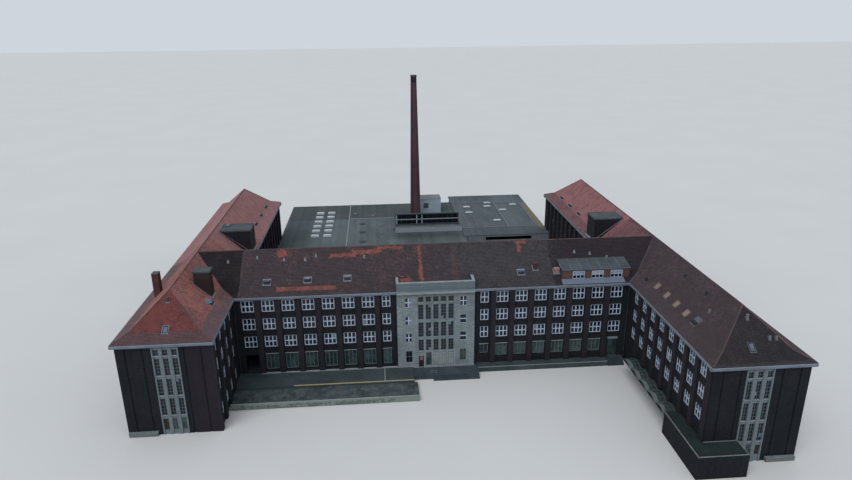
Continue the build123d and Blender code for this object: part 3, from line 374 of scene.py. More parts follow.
def makeTileShadeGroup():
    # dark streaks and the spread of light and dark from tile to tile
    group, gin, gout = newGroup("tileShade", {
        "Color": (0.5, 0.2, 0.1, 1), "Tint": 0.5, "Across": 0.5, "Dark": (0.1, 0.07, 0.07, 1),
        "Dark Amount": 0.5, "Contrast": 0.3}, ("Color", "Height"))
    where = vectorMaths(group, "MULTIPLY", objectPlace(group), (3.0, 3.0, 0.8))
    dark = times(group, spread(group, noiseAt(group, where, 2.2, 3.0, 0.6), 0.44, 0.64), gin["Dark Amount"])
    color = mixColor(group, dark, gin["Color"], gin["Dark"])
    shade = plus(group, 1.0, times(group, minus(group, gin["Tint"], 0.5), gin["Contrast"]))
    feed(group, gout, {"Color": shadeBy(group, color, shade),
                       "Height": maths(group, "SINE", times(group, gin["Across"], math.pi))})
    return group


def makeZoneGroup():
    # repaints one box of the building in another tone, with a ragged edge
    group, gin, gout = newGroup("zone", {
        "Color": (0.5, 0.5, 0.5, 1), "Tone": (0.5, 0.5, 0.5, 1), "Middle": (0.0, 0.0, 0.0),
        "Reach": (1.0, 1.0, 1.0), "Ragged": 0.05, "Grain": 7.0, "Strength": 1.0, "Scatter": 0.5,
        "Soft": 0.012}, ("Color",))
    where = objectPlace(group)
    away = vectorMaths(group, "ABSOLUTE", vectorMaths(group, "SUBTRACT", where, gin["Middle"]))
    parts = parted(group, vectorMaths(group, "SUBTRACT", gin["Reach"], away))
    inside = maths(group, "MINIMUM", maths(group, "MINIMUM", parts[0], parts[1]), parts[2])
    noise = spread(group, noiseAt(group, where, gin["Grain"], 4.0, 0.7), 0.25, 0.75, -1.0, 1.0)
    wobble = plus(group, noise, minus(group, gin["Scatter"], 0.5))
    inside = plus(group, inside, times(group, wobble, gin["Ragged"]))
    mask = times(group, spread(group, inside, 0.0, gin["Soft"]), gin["Strength"])
    feed(group, gout, {"Color": mixColor(group, mask, gin["Color"], gin["Tone"])})
    return group


masonry, grime, tileTone = makeMasonryGroup(), makeGrimeGroup(), makeTileToneGroup()
tileShade, zoneGroup = makeTileShadeGroup(), makeZoneGroup()
print("shader groups ready")


def newMaterial(name):
    material = bpy.data.materials.new(name)
    material.use_nodes = True
    tree = material.node_tree
    tree.nodes.clear()
    shader = put(tree, "BsdfPrincipled")
    put(tree, "OutputMaterial", None, {"Surface": shader.outputs[0]})
    return material, tree, shader


def withGroup(tree, group, values):
    return put(tree, "Group", {"node_tree": group}, values).outputs


def zone(tone, strength=1.0, ragged=0.0, grain=7.0, soft=0.012, x=(-20, 20), y=(-20, 20), z=(-1, 9)):
    # a box of the plan to repaint
    spans = (x, (y[0] + shiftY, y[1] + shiftY), z)
    return {"Tone": rgb(tone), "Middle": tuple((a + b) / 2 for a, b in spans), "Strength": strength,
            "Reach": tuple((b - a) / 2 for a, b in spans), "Ragged": ragged, "Grain": grain, "Soft": soft}


def withZones(tree, color, zones, scatter=None):
    for values in zones:
        more = {"Color": color, "Scatter": scatter} if scatter else {"Color": color}
        color = withGroup(tree, zoneGroup, values | more)["Color"]
    return color


def finishMaterial(made, color, roughness, specular, height, bump, distance=0.001, metallic=0.0):
    material, tree, shader = made
    feed(tree, shader, {"Base Color": color, "Roughness": roughness, "Specular IOR Level": specular,
                        "Metallic": metallic})
    normal = put(tree, "Bump", None, {"Strength": bump, "Distance": distance, "Height": height}).outputs[0]
    feed(tree, shader, {"Normal": normal})
    return material


def masonryMaterial(name, tones, soot, patch=1.7, rough=0.85, bump=0.5, size=None, zones=(),
                    place=wallPlace):
    made = material, tree, shader = newMaterial(name)
    values = dict(zip(("Light", "Dark", "Joint", "Soot"), map(rgb, tones))) | (size or {})
    used = withGroup(tree, masonry,
                     values | {"Soot Amount": soot, "Patch Scale": patch, "Place": place(tree)})
    color = withZones(tree, used["Color"], zones)
    roughness = spread(tree, used["Soot Mask"], 0.0, 1.0, rough, min(1.0, rough + 0.12))
    return finishMaterial(made, color, roughness, 0.15, used["Height"], bump)


def grimeMaterial(name, tones, stain=3.0, speck=40.0, amount=0.7, run=(1.0, 1.0, 1.0), rough=0.6, bump=0.3,
                  metallic=0.0, zones=(), rolls=0.0):
    # rolls: width of the sheets or felt rolls that the surface is laid in, each a little lighter or darker
    made = material, tree, shader = newMaterial(name)
    values = dict(zip(("Clean", "Stain", "Speck"), map(rgb, tones)))
    used = withGroup(tree, grime, values | {"Stain Scale": stain, "Speck Scale": speck, "Amount": amount,
                                            "Stretch": run})
    color = withZones(tree, used["Color"], zones)
    if rolls:
        strip = maths(tree, "FLOOR", maths(tree, "DIVIDE", parted(tree, objectPlace(tree))[0], rolls))
        color = shadeBy(tree, color, spread(tree, whiteNoise(tree, "1D", {"W": strip}), 0.0, 1.0, 0.9, 1.1))
    roughness = spread(tree, used["Stain Mask"], 0.0, 1.0, rough, min(1.0, rough + 0.2))
    return finishMaterial(made, color, roughness, 0.25, used["Height"], bump, metallic=metallic)


def glassMaterial(name, dark, pale, alpha):
    material, tree, shader = newMaterial(name)
    cloud = spread(tree, noiseAt(tree, objectPlace(tree), 5.0, 3.0, 0.6), 0.42, 0.66)
    color = mixColor(tree, cloud, rgb(dark), rgb(pale))
    smear = spread(tree, noiseAt(tree, objectPlace(tree), 18.0, 2.0, 0.5), 0.3, 0.7, 0.12, 0.3)
    feed(tree, shader, {"Base Color": color, "Roughness": smear, "Alpha": alpha, "IOR": 1.45})
    return material


def tileMaterial(name, fresh, aged, dark, share, scale, darkAmount, contrast=0.2, zones=()):
    made = material, tree, shader = newMaterial(name)
    base = withGroup(tree, tileTone, {"Fresh": rgb(fresh), "Aged": rgb(aged), "Fresh Share": share,
                                      "Broad Scale": scale})
    color = withZones(tree, base["Color"], zones, base["Tint"])
    used = withGroup(tree, tileShade, {"Color": color, "Tint": base["Tint"], "Dark": rgb(dark),
                                       "Across": base["Across"], "Dark Amount": darkAmount,
                                       "Contrast": contrast})
    return finishMaterial(made, used["Color"], 0.85, 0.2, used["Height"], 0.6, 0.004)


stoneSize = {"Length": 0.075, "Course": 0.032, "Joint Width": 0.0016}
renderSize = {"Length": 0.3, "Course": 0.15, "Joint Width": 0.0015}
wallBrick = masonryMaterial(
    "clinkerBrick", ((43, 42, 48), (15, 21, 28), (37, 40, 44), (13, 19, 26)), 0.5, rough=0.8, zones=[
        zone((50, 38, 48), 0.4, 0.03, soft=0.15, x=(-4.56, -3.9), y=(-2.0, -1.6)),
        zone((22, 34, 38), 0.4, 0.1, soft=0.2, x=(5.0, 5.75), y=(-3.6, -3.4), z=(0, 1.5))])
pilasterBrick = masonryMaterial(
    "pilasterBrick", ((60, 51, 58), (25, 27, 34), (43, 43, 47), (20, 23, 30)), 0.42, 2.3, 0.8)
dormerBrick = masonryMaterial("dormerBrick", ((112, 78, 68), (80, 60, 56), (88, 78, 74), (56, 48, 50)), 0.4)
stackBrick = masonryMaterial("stackBrick", ((104, 68, 60), (66, 42, 40), (86, 72, 68), (46, 34, 34)), 0.4)
chimneyBrick = masonryMaterial(
    "chimneyBrick", ((108, 72, 76), (74, 54, 60), (86, 72, 74), (54, 46, 54)), 0.6, 1.2, place=shaftPlace,
    zones=[
        zone((38, 32, 40), 0.8, 0.02, z=(5.12, 5.29)), zone((122, 110, 112), 0.8, z=(5.335, 5.36)),
        # painted shade: this zone darkens the shaft's left side from the foot up to the rings
        zone((44, 36, 44), 0.45, 0.03, x=(-1, 0.085), z=(0, 5.2))])
sandstone = masonryMaterial(
    "sandstone", ((143, 153, 157), (122, 132, 137), (94, 102, 106), (90, 98, 103)), 0.55, 2.6, bump=0.6,
    size=stoneSize, zones=[
        zone((92, 101, 107), 0.75, 0.01, z=(1.825, 1.99)),
        zone((96, 116, 112), 0.7, y=(-0.12, -0.02), z=(1.812, 1.826)),
        zone((150, 160, 164), 0.7, y=(-0.12, -0.10), z=(1.770, 1.815)),
        zone((102, 102, 92), 0.35, 0.08, y=(-0.4, -0.02), z=(1.5, 1.744)),
        zone((92, 102, 106), 0.6, 0.1, y=(-3.8, -1.5), z=(-1, 1.8))])
paleStone = masonryMaterial("paleStone",
                            ((150, 156, 160), (136, 143, 148), (104, 110, 112), (104, 112, 116)), 0.4, 3.5,
                            bump=0.4, size=stoneSize)
hallRender = masonryMaterial(
    "hallRender", ((112, 119, 127), (101, 107, 114), (90, 95, 100), (74, 80, 87)), 0.6, 1.4, 0.9, 0.2,
    renderSize, [
        zone((150, 156, 166), 0.85, y=(6.8, 6.9), z=(0.79, 1.0)),
        zone((58, 64, 74), 0.85, y=(6.88, 6.95), z=(1.0, 1.42)),
        zone((150, 156, 166), 0.85, y=(6.88, 6.95), z=(1.178, 1.217))])
plantRender = masonryMaterial("plantRender",
                              ((168, 184, 196), (158, 172, 184), (134, 146, 156), (122, 132, 140)), 0.4, 1.8,
                              0.9, 0.2, renderSize)

deckConcrete = grimeMaterial(
    "deckConcrete", ((64, 74, 78), (50, 58, 60), (38, 44, 40)), 1.4, 26.0, 0.9, rough=0.8, zones=[
        zone((170, 158, 122), 0.9, 0.006, x=(-2.9, -0.48), y=(-0.62, -0.548), z=(0.1, 0.14)),
        zone((86, 92, 92), 0.85, 0.02, y=(-1.2, -0.592), z=(0, 0.066)),
        zone((134, 142, 134), 0.9, y=(-1.19, -1.149), z=(0.0, 0.14)),
        zone((62, 72, 68), 0.6, 0.05, 12.0, x=(-4, -0.9), y=(-1.19, -1.17), z=(0.0, 0.08))])
feltRun = (1.0, 0.45, 1.0)
roofFelt = grimeMaterial(
    "roofFelt", ((88, 98, 100), (68, 76, 78), (52, 56, 54)), 0.9, 14.0, 0.85, feltRun, 0.85, rolls=0.1,
    zones=[
        # painted shadow: this zone darkens the felt in a soft band along the foot of the left wing
        zone((58, 66, 70), 0.6, 0.15, 2.0, 0.3, x=(-4.2, -3.1)),
        zone((60, 66, 68), 0.7, 0.04, 3.0, x=(-4.2, 1.5), y=(8.47, 10.3)),
        zone((46, 52, 54), 0.5, 0.08, soft=0.3, x=(-0.8, 1.6), y=(6.2, 6.9))])
farFelt = grimeMaterial(
    "farRoofFelt", ((86, 94, 99), (68, 75, 79), (54, 58, 60)), 0.9, 14.0, 0.85, feltRun, 0.85, rolls=0.1,
    zones=[
        zone((120, 108, 88), 0.8, 0.03, x=(3.835, 4.1), y=(6.743, 9.8)),
        zone((66, 74, 78), 0.6, 0.04, soft=0.1, x=(1.4, 4.1), y=(6.2, 6.98))])
gutterMetal = grimeMaterial("gutterMetal", ((112, 120, 134), (84, 90, 101), (60, 64, 72)), 3.2, 22.0, 0.65,
                            rough=0.55, zones=[zone((150, 158, 168), 0.75, z=(1.806, 1.9))])
whiteFrame = grimeMaterial("whiteFramePaint", ((178, 192, 210), (148, 162, 180), (110, 116, 122)), 4.0, 50.0,
                           0.5, rough=0.5)
greyFrame = grimeMaterial("greyFramePaint", ((88, 98, 101), (70, 78, 80), (54, 60, 61)), 4.0, 50.0)
greenFrame = grimeMaterial("greenFramePaint", ((96, 112, 108), (70, 84, 80), (50, 58, 54)), 5.0, 50.0,
                           rough=0.55)
railPaint = grimeMaterial("railPaint", ((44, 44, 48), (62, 48, 40), (24, 24, 24)), 5.0, 60.0, 0.6, rough=0.5,
                          metallic=0.4)
# canopy sheet: its dark tone is partly painted shade; the pale zone along the vaults' outer edge is a painted
# highlight
canopySheet = grimeMaterial("canopySheet", ((46, 55, 59), (33, 41, 43), (26, 31, 30)), 3.0, 40.0, 0.9,
                            zones=[zone((112, 120, 120), 0.7, 0.015, x=(3.79, 3.89))])
canopyRib = grimeMaterial("canopyRibPaint", ((98, 104, 102), (74, 82, 80), (50, 54, 52)), 4.0)
palePaint = grimeMaterial("palePanel", ((150, 154, 156), (122, 128, 130), (92, 94, 94)), 5.0)
bluePaint = grimeMaterial("blueUpperLight", ((128, 142, 168), (104, 116, 138), (80, 86, 98)), 5.0, rough=0.4)
pinkPaint = grimeMaterial("pinkDoorPanel", ((140, 104, 106), (110, 82, 86), (80, 62, 66)), 6.0)
boardRun = {"stain": 6.0, "speck": 50.0, "run": (4.0, 4.0, 1.0)}
darkDoorPaint = grimeMaterial("darkDoorPaint", ((40, 34, 42), (28, 25, 32), (20, 18, 22)), **boardRun)
brownDoorPaint = grimeMaterial("brownDoorPaint", ((66, 42, 36), (46, 31, 29), (30, 22, 22)), **boardRun)
greenDoorPaint = grimeMaterial("greenDoorPaint", ((52, 64, 60), (36, 46, 42), (24, 30, 28)), **boardRun)
boardTar = grimeMaterial("tarredBoards", ((36, 36, 42), (24, 25, 30), (18, 18, 22)), rough=0.7, **boardRun)
stepStone = grimeMaterial("stepStone", ((64, 74, 82), (46, 54, 60), (34, 40, 42)), 2.6, 30.0, 0.9,
                          rough=0.85,
                          zones=[zone((122, 126, 124), 0.6, x=x) for x in ((4.9, 5.8), (-5.8, -4.9))])
floorSlab = grimeMaterial("terraceFloor", ((36, 49, 50), (26, 37, 38), (22, 28, 26)), 2.0, 30.0, 0.9,
                          rough=0.85)
copingStone = grimeMaterial("copingStone", ((120, 128, 130), (92, 100, 102), (66, 70, 70)), rough=0.8)
roofSheet = grimeMaterial(
    "dormerSheet", ((72, 79, 84), (56, 62, 65), (42, 46, 46)), 2.5, 24.0, 0.8, rough=0.7, zones=[
        zone((128, 128, 122), 0.8, x=(4.2, 4.45), y=(-2.4, -2.1)),
        zone((122, 122, 128), 0.8, x=(4.83, 5.3), y=(-3.2, -2.8)),
        zone((172, 130, 124), 0.85, x=(2.47, 2.63), y=(0.2, 0.37)),
        zone((84, 50, 54), 0.85, x=(2.05, 2.19), y=(0.3, 0.45)),
        zone((24, 24, 28), 0.9, x=(-6, -2), z=(1.9, 2.384)),
        zone((24, 24, 28), 0.9, x=(4.08, 6), z=(1.9, 2.384)),
        zone((46, 30, 28), 0.9, x=(-4.7, -4.3), y=(-0.4, 0), z=(2.0, 2.502))])
leadSheet = grimeMaterial(
    "leadFlashing", ((118, 126, 140), (88, 94, 104), (62, 64, 70)), 4.0, rough=0.55, zones=[
        zone((98, 109, 128), 0.8, x=(2.5, 4.1), y=(-0.1, 0.15)),
        zone((68, 66, 70), 0.7, x=(4.2, 5.4), y=(-3.3, -0.2))])
ventMetal = grimeMaterial("ventMetal", ((150, 156, 164), (112, 116, 122), (74, 74, 76)), 9.0, rough=0.5)
valleyMetal = grimeMaterial("valleyMetal", ((58, 56, 60), (44, 42, 46), (32, 32, 34)), 4.0,
                            zones=[zone((128, 108, 112), 0.85, 0.01, x=(4.0, 4.9), y=(-0.1, 1.0))])
tanPaint = grimeMaterial("tanRimPaint", ((104, 88, 82), (84, 72, 68), (64, 56, 54)), 5.0)
boardPaint = grimeMaterial("boardPaint", ((120, 130, 148), (98, 106, 120), (78, 82, 90)), 5.0, rough=0.55)
brownFrame = grimeMaterial("brownFramePaint", ((58, 56, 60), (42, 41, 45), (30, 30, 32)), 4.0, 50.0)
darkLead = grimeMaterial("darkLead", ((62, 64, 70), (46, 48, 52), (32, 32, 34)), 4.0)
hatchMetal = grimeMaterial("hatchMetal", ((60, 60, 64), (44, 44, 48), (32, 32, 34)), 6.0, zones=[
    zone((74, 46, 40), 0.9, x=(-5.6, -5.3)),
    zone((158, 112, 116), 0.9, x=(2.49, 2.62), y=(0.2, 0.4)),
    zone((112, 98, 84), 0.9, x=(4.25, 4.38), y=(-2.1, -0.5)),
    zone((110, 124, 150), 0.9, x=(-4.9, -4.79), y=(-1.7, -1.5)),
    zone((110, 118, 140), 0.9, x=(4.73, 4.84), y=(-3.3, -3.1)),
    zone((128, 126, 124), 0.8, x=(4.5, 4.6), y=(-2.35, -2.2)),
    zone((122, 122, 128), 0.8, x=(4.83, 5.3), y=(-3.2, -2.8)),
    zone((74, 42, 48), 0.85, x=(2.05, 2.19), y=(0.3, 0.45))])
lightSheet = grimeMaterial(
    "rooflightSheet", ((178, 186, 190), (146, 154, 158), (104, 108, 108)), 5.0, rough=0.5, zones=[
        zone((94, 102, 108), 0.9, x=(1.3, 4.0), z=(0.8, 0.8495)),
        zone((118, 126, 131), 0.9, x=(-2.0499, -0.55), z=(0.77, 0.8195)),
        zone((118, 126, 131), 0.9, x=(-2.1, -2.0))])

paneGlass = glassMaterial("paneGlass", (5, 9, 19), (18, 28, 48), 0.97)
sheetGlass = glassMaterial("sheetGlass", (8, 12, 22), (16, 22, 34), 0.6)
greenGlass = glassMaterial("greenGlass", (34, 48, 52), (70, 88, 92), 0.92)
lightGlass = glassMaterial("rooflightGlass", (168, 178, 184), (196, 204, 208), 0.95)
tanGlass = glassMaterial("tanGlass", (112, 96, 86), (134, 116, 104), 0.95)
hatchGlass = glassMaterial("hatchGlass", (88, 100, 124), (128, 140, 160), 0.95)

# Patches of newer tiles on the front block: strength, raggedness, grain, x and y
newPatches = [zone((132, 80, 74), *how, x=x, y=y) for how, x, y in (
    ((1.0, 0.05, 12.0), (-3.25, -3.03), (0.77, 0.93)), ((1.0, 0.03), (-2.16, -1.60), (0.71, 0.80)),
    ((1.0, 0.03), (-1.70, -1.05), (0.77, 0.86)), ((1.0, 0.03), (-1.15, -0.62), (0.84, 0.92)),
    ((1.0, 0.012, 14.0), (-3.20, -2.00), (0.070, 0.185)), ((1.0, 0.03, 12.0), (-0.31, -0.23), (0.20, 0.93)),
    ((0.8, 0.09, 9.0), (-0.72, -0.50), (0.16, 0.30)), ((1.0, 0.02, 12.0), (1.78, 2.02), (0.86, 0.93)),
    ((1.0, 0.02, 12.0), (1.80, 1.89), (0.70, 0.88)))]
kickZ = (1.80, 1.942)
blockTiles = tileMaterial("blockTiles", (84, 67, 67), (68, 59, 63), (50, 48, 52), 0.35, 1.6, 0.4, 0.22, [
    zone((56, 56, 61), 0.75, 0.25, 2.0, x=(0.2, 2.6)), zone((40, 34, 41), 0.85, 0.04, 3.0, x=(2.46, 4.9)),
    zone((27, 22, 25), 0.85, 0.03, 3.0, x=(-4.9, -3.925)),
    zone((104, 92, 96), 0.6, 0.008, 20.0, x=(-3.94, -3.915), y=(0.0, 0.9)),
    zone((82, 80, 82), 0.25, 0.5, 26.0, x=(0.25, 2.5), y=(-0.1, 1.0)), *newPatches,
    zone((84, 66, 66), 0.8, 0.05, 10.0, x=(0.36, 0.5), y=(0.1, 0.8))])
leftTiles = tileMaterial("leftWingTiles", (150, 98, 92), (118, 84, 83), (88, 70, 71), 0.5, 1.0, 0.3, 0.22, [
    zone((88, 78, 84), 0.8, 0.01, z=kickZ), zone((148, 106, 106), 0.85, 0.1, 2.0, y=(1.9, 7.1)),
    zone((150, 88, 78), 0.4, 0.25, 2.5, y=(-0.6, 0.6), z=(1.95, 2.5))])
# front hip: the left wing's tiles in a darker tone, partly painted shade on the front-facing slope and partly
# tile tone; the kick-strip zone is tile tone
leftHipTiles = tileMaterial("leftHipTiles", (112, 62, 60), (90, 58, 59), (68, 52, 54), 0.6, 0.9, 0.35,
                            zones=[zone((86, 76, 80), 0.7, 0.012, z=kickZ)])
rightTiles = tileMaterial("rightWingTiles", (80, 66, 70), (68, 58, 62), (54, 49, 54), 0.35, 1.1, 0.35, zones=[
    zone((128, 88, 90), 0.75, 0.1, 2.0, 0.2, x=(3.9, 4.92), y=(0.98, 2.6)),
    zone((150, 102, 102), 0.9, 0.12, 2.0, 0.2, y=(2.2, 7.1)), zone((76, 66, 70), 0.5, 0.01, z=kickZ),
    zone((64, 55, 58), 0.5, 0.2, 2.0, y=(-3.6, -2.6))])
# front hip: the right wing's tiles in a darker tone, partly painted shade on the front-facing slope and
# partly tile tone; its kick-strip and streak zones are tile tone
rightHipTiles = tileMaterial("rightHipTiles", (56, 50, 52), (47, 44, 47), (38, 37, 40), 0.4, 1.3, 0.4, zones=[
    zone((64, 59, 63), 0.7, 0.01, z=(1.80, 1.86)),
    zone((84, 80, 82), 0.6, 0.004, 20.0, x=(4.875, 4.893), y=(-3.15, -2.88)),
    zone((72, 70, 74), 0.5, 0.004, 20.0, x=(5.18, 5.20), y=(-3.42, -3.14))])
ridgeClay = tileMaterial("ridgeClay", (112, 84, 78), (84, 70, 70), (58, 52, 54), 0.35, 4.0, 0.4, 0.35)
print("materials ready")

nodeLooks = (
    (wallBrick, "front_upper_walls front_ground_walls rear_walls wing_inner_walls wing_outer_walls"),
    (wallBrick, "wing_front_walls terrace"),
    (sandstone, "door_surrounds stone_fronts stone_bases stone_attic"),
    (pilasterBrick, "front_pilasters wing_pilasters"),
    (deckConcrete, "block_floors wing_floors loading_docks"), (gutterMetal, "cornice_ends cornice_sides"),
    (sheetGlass, "front_glass wing_glass strip_glass"),
    (darkLead, "roof_left_slopes roof_right_slopes roof_front_slopes roof_rear_slopes"),
    (darkDoorPaint, "stone_front_door"), (greenDoorPaint, "entrance_door_left entrance_door_right"),
    (brownDoorPaint, "left_wing_door right_wing_door"), (stepStone, "outside_steps"),
    (railPaint, "railings"), (canopySheet, "loading_canopy"),
    (hallRender, "hall_side_walls hall_end_walls clerestory"), (roofFelt, "hall_roof"),
    (farFelt, "far_hall_roof"), (plantRender, "plant_room"), (lightSheet, "hall_rooflights"),
    (chimneyBrick, "chimney"), (roofSheet, "long_dormer stair_heads"), (hatchMetal, "roof_hatches"))
for material, names in nodeLooks:
    for name in names.split():
        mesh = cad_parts[name].data
        mesh.materials.clear()
        mesh.materials.append(material)
print("CAD nodes dressed")

# Walls that carry windows
stoneWall = frontWall(-0.05)
innerWall = {s: sideWall(s * innerX, -s) for s in sides}
outerWall = {s: sideWall(s * outerX, s) for s in sides}
panelWall = {s: frontWall(frontY[s], s * layout["panelMidX"]) for s in sides}
wingRear = {s: rearWall(rearY, s * wingMidX) for s in sides}

sash = {"bars": (0.016, 0.019, 0.024), "deep": 0.014, "boardChance": 0.03, "sillH": 0.0075, "sillOut": 0.010,
        "headH": 0.025, "headOut": 0.003, "lap": 0.012, "paneIn": 0.004}
frames, darkFrames, panes, boards, sills, heads = newShapes(6)
stripBars, greenBars, greenPanes, stoneTrim, infills = newShapes(5)


def addWindow(bars, glass, wall, u, v0, v1, w, cols, rows, rim, bar, back, boardChance=0.0):
    # rim all round, bars between the panes, one pane behind, some panes boarded
    u0, u1 = u - w / 2, u + w / 2
    n0, n1 = -back, -back + sash["deep"]
    paneW = (w - 2 * rim - (cols - 1) * bar) / cols
    paneH = (v1 - v0 - 2 * rim - (rows - 1) * bar) / rows
    paneUs = [u0 + rim + i * (paneW + bar) for i in range(cols)]
    paneVs = [v0 + rim + j * (paneH + bar) for j in range(rows)]
    for spot in rimOf(u0, u1, v0, v1, rim):
        addBlock(bars, wall, *spot, n0, n1)
    for a in paneUs[1:]:
        addBlock(bars, wall, a - bar, a, v0 + rim, v1 - rim, n0, n1)
    for b in paneVs[1:]:
        for a in paneUs:
            addBlock(bars, wall, a, a + paneW, b - bar, b, n0 + 0.001, n1 - 0.001)
    edge = sash["paneIn"]
    addBlock(glass, wall, u0 + edge, u1 - edge, v0 + edge, v1 - edge, n0 + 0.003, n0 + 0.006)
    for a in paneUs:
        for b in paneVs:
            if random.random() < boardChance:
                addBlock(boards, wall, a, a + paneW, b, b + paneH, n0 + 0.007, n0 + 0.009)


def widthAndCols(narrow):
    return (layout["narrowW"], 2) if narrow else (windowW, 3)


def addSash(wall, u, v, narrow=False, bars=frames):
    # a window of the brick walls, on a sill course and under a soldier course
    w, cols = widthAndCols(narrow)
    top, reach = v + layout["windowH"], w / 2 + sash["lap"]
    addWindow(bars, panes, wall, u, v, top, w, cols, 2, *sash["bars"], sash["boardChance"])
    addBlock(sills, wall, u - reach, u + reach, v - sash["sillH"], v, skin, sash["sillOut"])
    addBlock(heads, wall, u - reach, u + reach, top, top + sash["headH"], skin, sash["headOut"])


def wingBays(y0, y1):
    # where windows stand along a wing's side between two places
    edge, firstY = 0.05 + windowW / 2, layout["firstBayY"]
    first, last = math.ceil((y0 + edge - firstY) / bay), math.floor((y1 - edge - firstY) / bay)
    return [firstY + i * bay for i in range(first, last + 1)]


groundSill = layout["groundSill"]
upperSills = [z + layout["sill"] for z in layout["floors"]]
for s in sides:
    for v in upperSills:
        addSash(blockFront, s * narrowX, v, True)
        for x in bayXs:
            addSash(blockFront, s * x, v)
    for v in upperSills[1:]:
        addSash(blockRear, s * narrowX, v, True)
        for x in bayXs:
            addSash(blockRear, s * x, v)
        for i in (-1, 0, 1):
            addSash(wingRear[s], i * bay, v)
    for y in wingBays(frontY[s], 0):
        for v in upperSills + ([groundSill] if s < 0 else []):
            addSash(innerWall[s], y, v)
    for y in wingBays(blockDepth, rearY):
        for v in upperSills[1:]:
            addSash(innerWall[s], y, v, bars=darkFrames)
    for y in wingBays(frontY[s], rearY):
        for v in upperSills + [groundSill]:
            addSash(outerWall[s], y, v)

# Ground floor of the front: green glazing in three panels under pale lintels
groundLook = {"bars": (0.012, 0.010, 0.024), "head": 0.54, "sills": {-1: groundSill, 1: 0.265},
              "darkSill": 0.33, "lintelH": 0.012, "lintelOut": 0.010, "gap": 0.001}
for s in sides:
    for x in [narrowX] + bayXs[:-1]:
        w, cols = widthAndCols(x == narrowX)
        dark = x == narrowX and s > 0
        low = groundLook["darkSill"] if dark else groundLook["sills"][s]
        addWindow(greenBars, panes if dark else greenPanes, blockFront, s * x, low, groundLook["head"], w,
                  cols, 1, *groundLook["bars"])
        top, reach = groundLook["head"] + groundLook["gap"], w / 2 + sash["lap"]
        addBlock(stoneTrim, blockFront, s * x - reach, s * x + reach, top, top + groundLook["lintelH"],
                 proud, groundLook["lintelOut"])

# The stone middle front: window strips, small side windows and the ground storey's infill panels
stoneLook = {"pitch": 0.155, "strip": 0.103, "bars": (0.004, 0.0055, 0.022), "boardChance": 0.035,
             "sideX": 0.563, "sideW": 0.13, "cross": 0.020, "sideFoot": 0.213, "finW": 0.036,
             "splitZ": 0.474, "plinthZ": 0.125, "gapW": 0.115, "infill": (0.14, 0.43),
             "rails": (0.14, 0.365, 0.424), "railW": 0.006,
             "plinths": ((-0.797, -0.49, 0.105), (-0.49, -0.3625, 0.08), (-0.2575, 0.797, 0.08)),
             "sideRows": ((1.469, 1.675), (1.076, 1.263), (0.683, 0.874))}
stripRows = [(1.58, 1.69, 2), (1.19, 1.52, 5), (0.795, 1.118, 5)]
pitch, sideW, splitZ, plinthZ = pick(stoneLook, "pitch sideW splitZ plinthZ")


def addSill(wall, u, v, w, out, h=0.010):
    addBlock(stoneTrim, wall, u - w / 2, u + w / 2, v - h, v, proud, out)


for i in range(-2, 3):
    for v0, v1, rows in stripRows + [(splitZ, 0.728, 4)]:
        addWindow(stripBars, panes, stoneWall, i * pitch, v0, v1, stoneLook["strip"], 2, rows,
                  *stoneLook["bars"], stoneLook["boardChance"])
        addSill(stoneWall, i * pitch, v0, stoneLook["gapW"], 0.008)
for s in sides:
    u = s * stoneLook["sideX"]
    for k, (v0, v1) in enumerate(stoneLook["sideRows"]):
        cols = 1 if s > 0 and k > 0 else 2
        addWindow(frames, panes, stoneWall, u, v0, v1, sideW, cols, 2, 0.004, stoneLook["cross"], 0.02)
        addSill(stoneWall, u, v0, sideW + 0.02, 0.006)
        if s < 0 and k < 2:
            a = u + stoneLook["cross"] / 2
            addBlock(boards, stoneWall, a, a + 0.05, v0 + 0.006, v1 - 0.006, -0.014, -0.0115)
for s, glass, cols, rows, bar in ((-1, panes, 2, 2, 0.006), (1, greenPanes, 3, 1, 0.008)):
    addWindow(greenBars, glass, stoneWall, s * stoneLook["sideX"], stoneLook["sideFoot"], splitZ, sideW,
              cols, rows, bar, bar, 0.02)
for i in range(5):
    u, half = (i - 1.5) * pitch, stoneLook["finW"] / 2
    addBlock(stoneTrim, stoneWall, u - half, u + half, plinthZ, splitZ, proud, 0.008)
    if i < 4:
        u, half, wide = u + pitch / 2, stoneLook["gapW"] / 2, stoneLook["railW"]
        addBlock(infills if i else greenPanes, stoneWall, u - half, u + half, *stoneLook["infill"], proud,
                 0.003)
        for k in range(4):
            a = u - half + (2 * half - wide) * k / 3
            addBlock(stripBars, stoneWall, a, a + wide, *stoneLook["infill"], 0.003, 0.005)
        for v in stoneLook["rails"]:
            addBlock(stripBars, stoneWall, u - half, u + half, v, v + wide, 0.003, 0.0045)
for u0, u1, v0 in stoneLook["plinths"]:
    addBlock(stoneTrim, stoneWall, u0, u1, v0, plinthZ, proud, 0.010)
addSill(stoneWall, 0, 0.462, 0.80, 0.010)

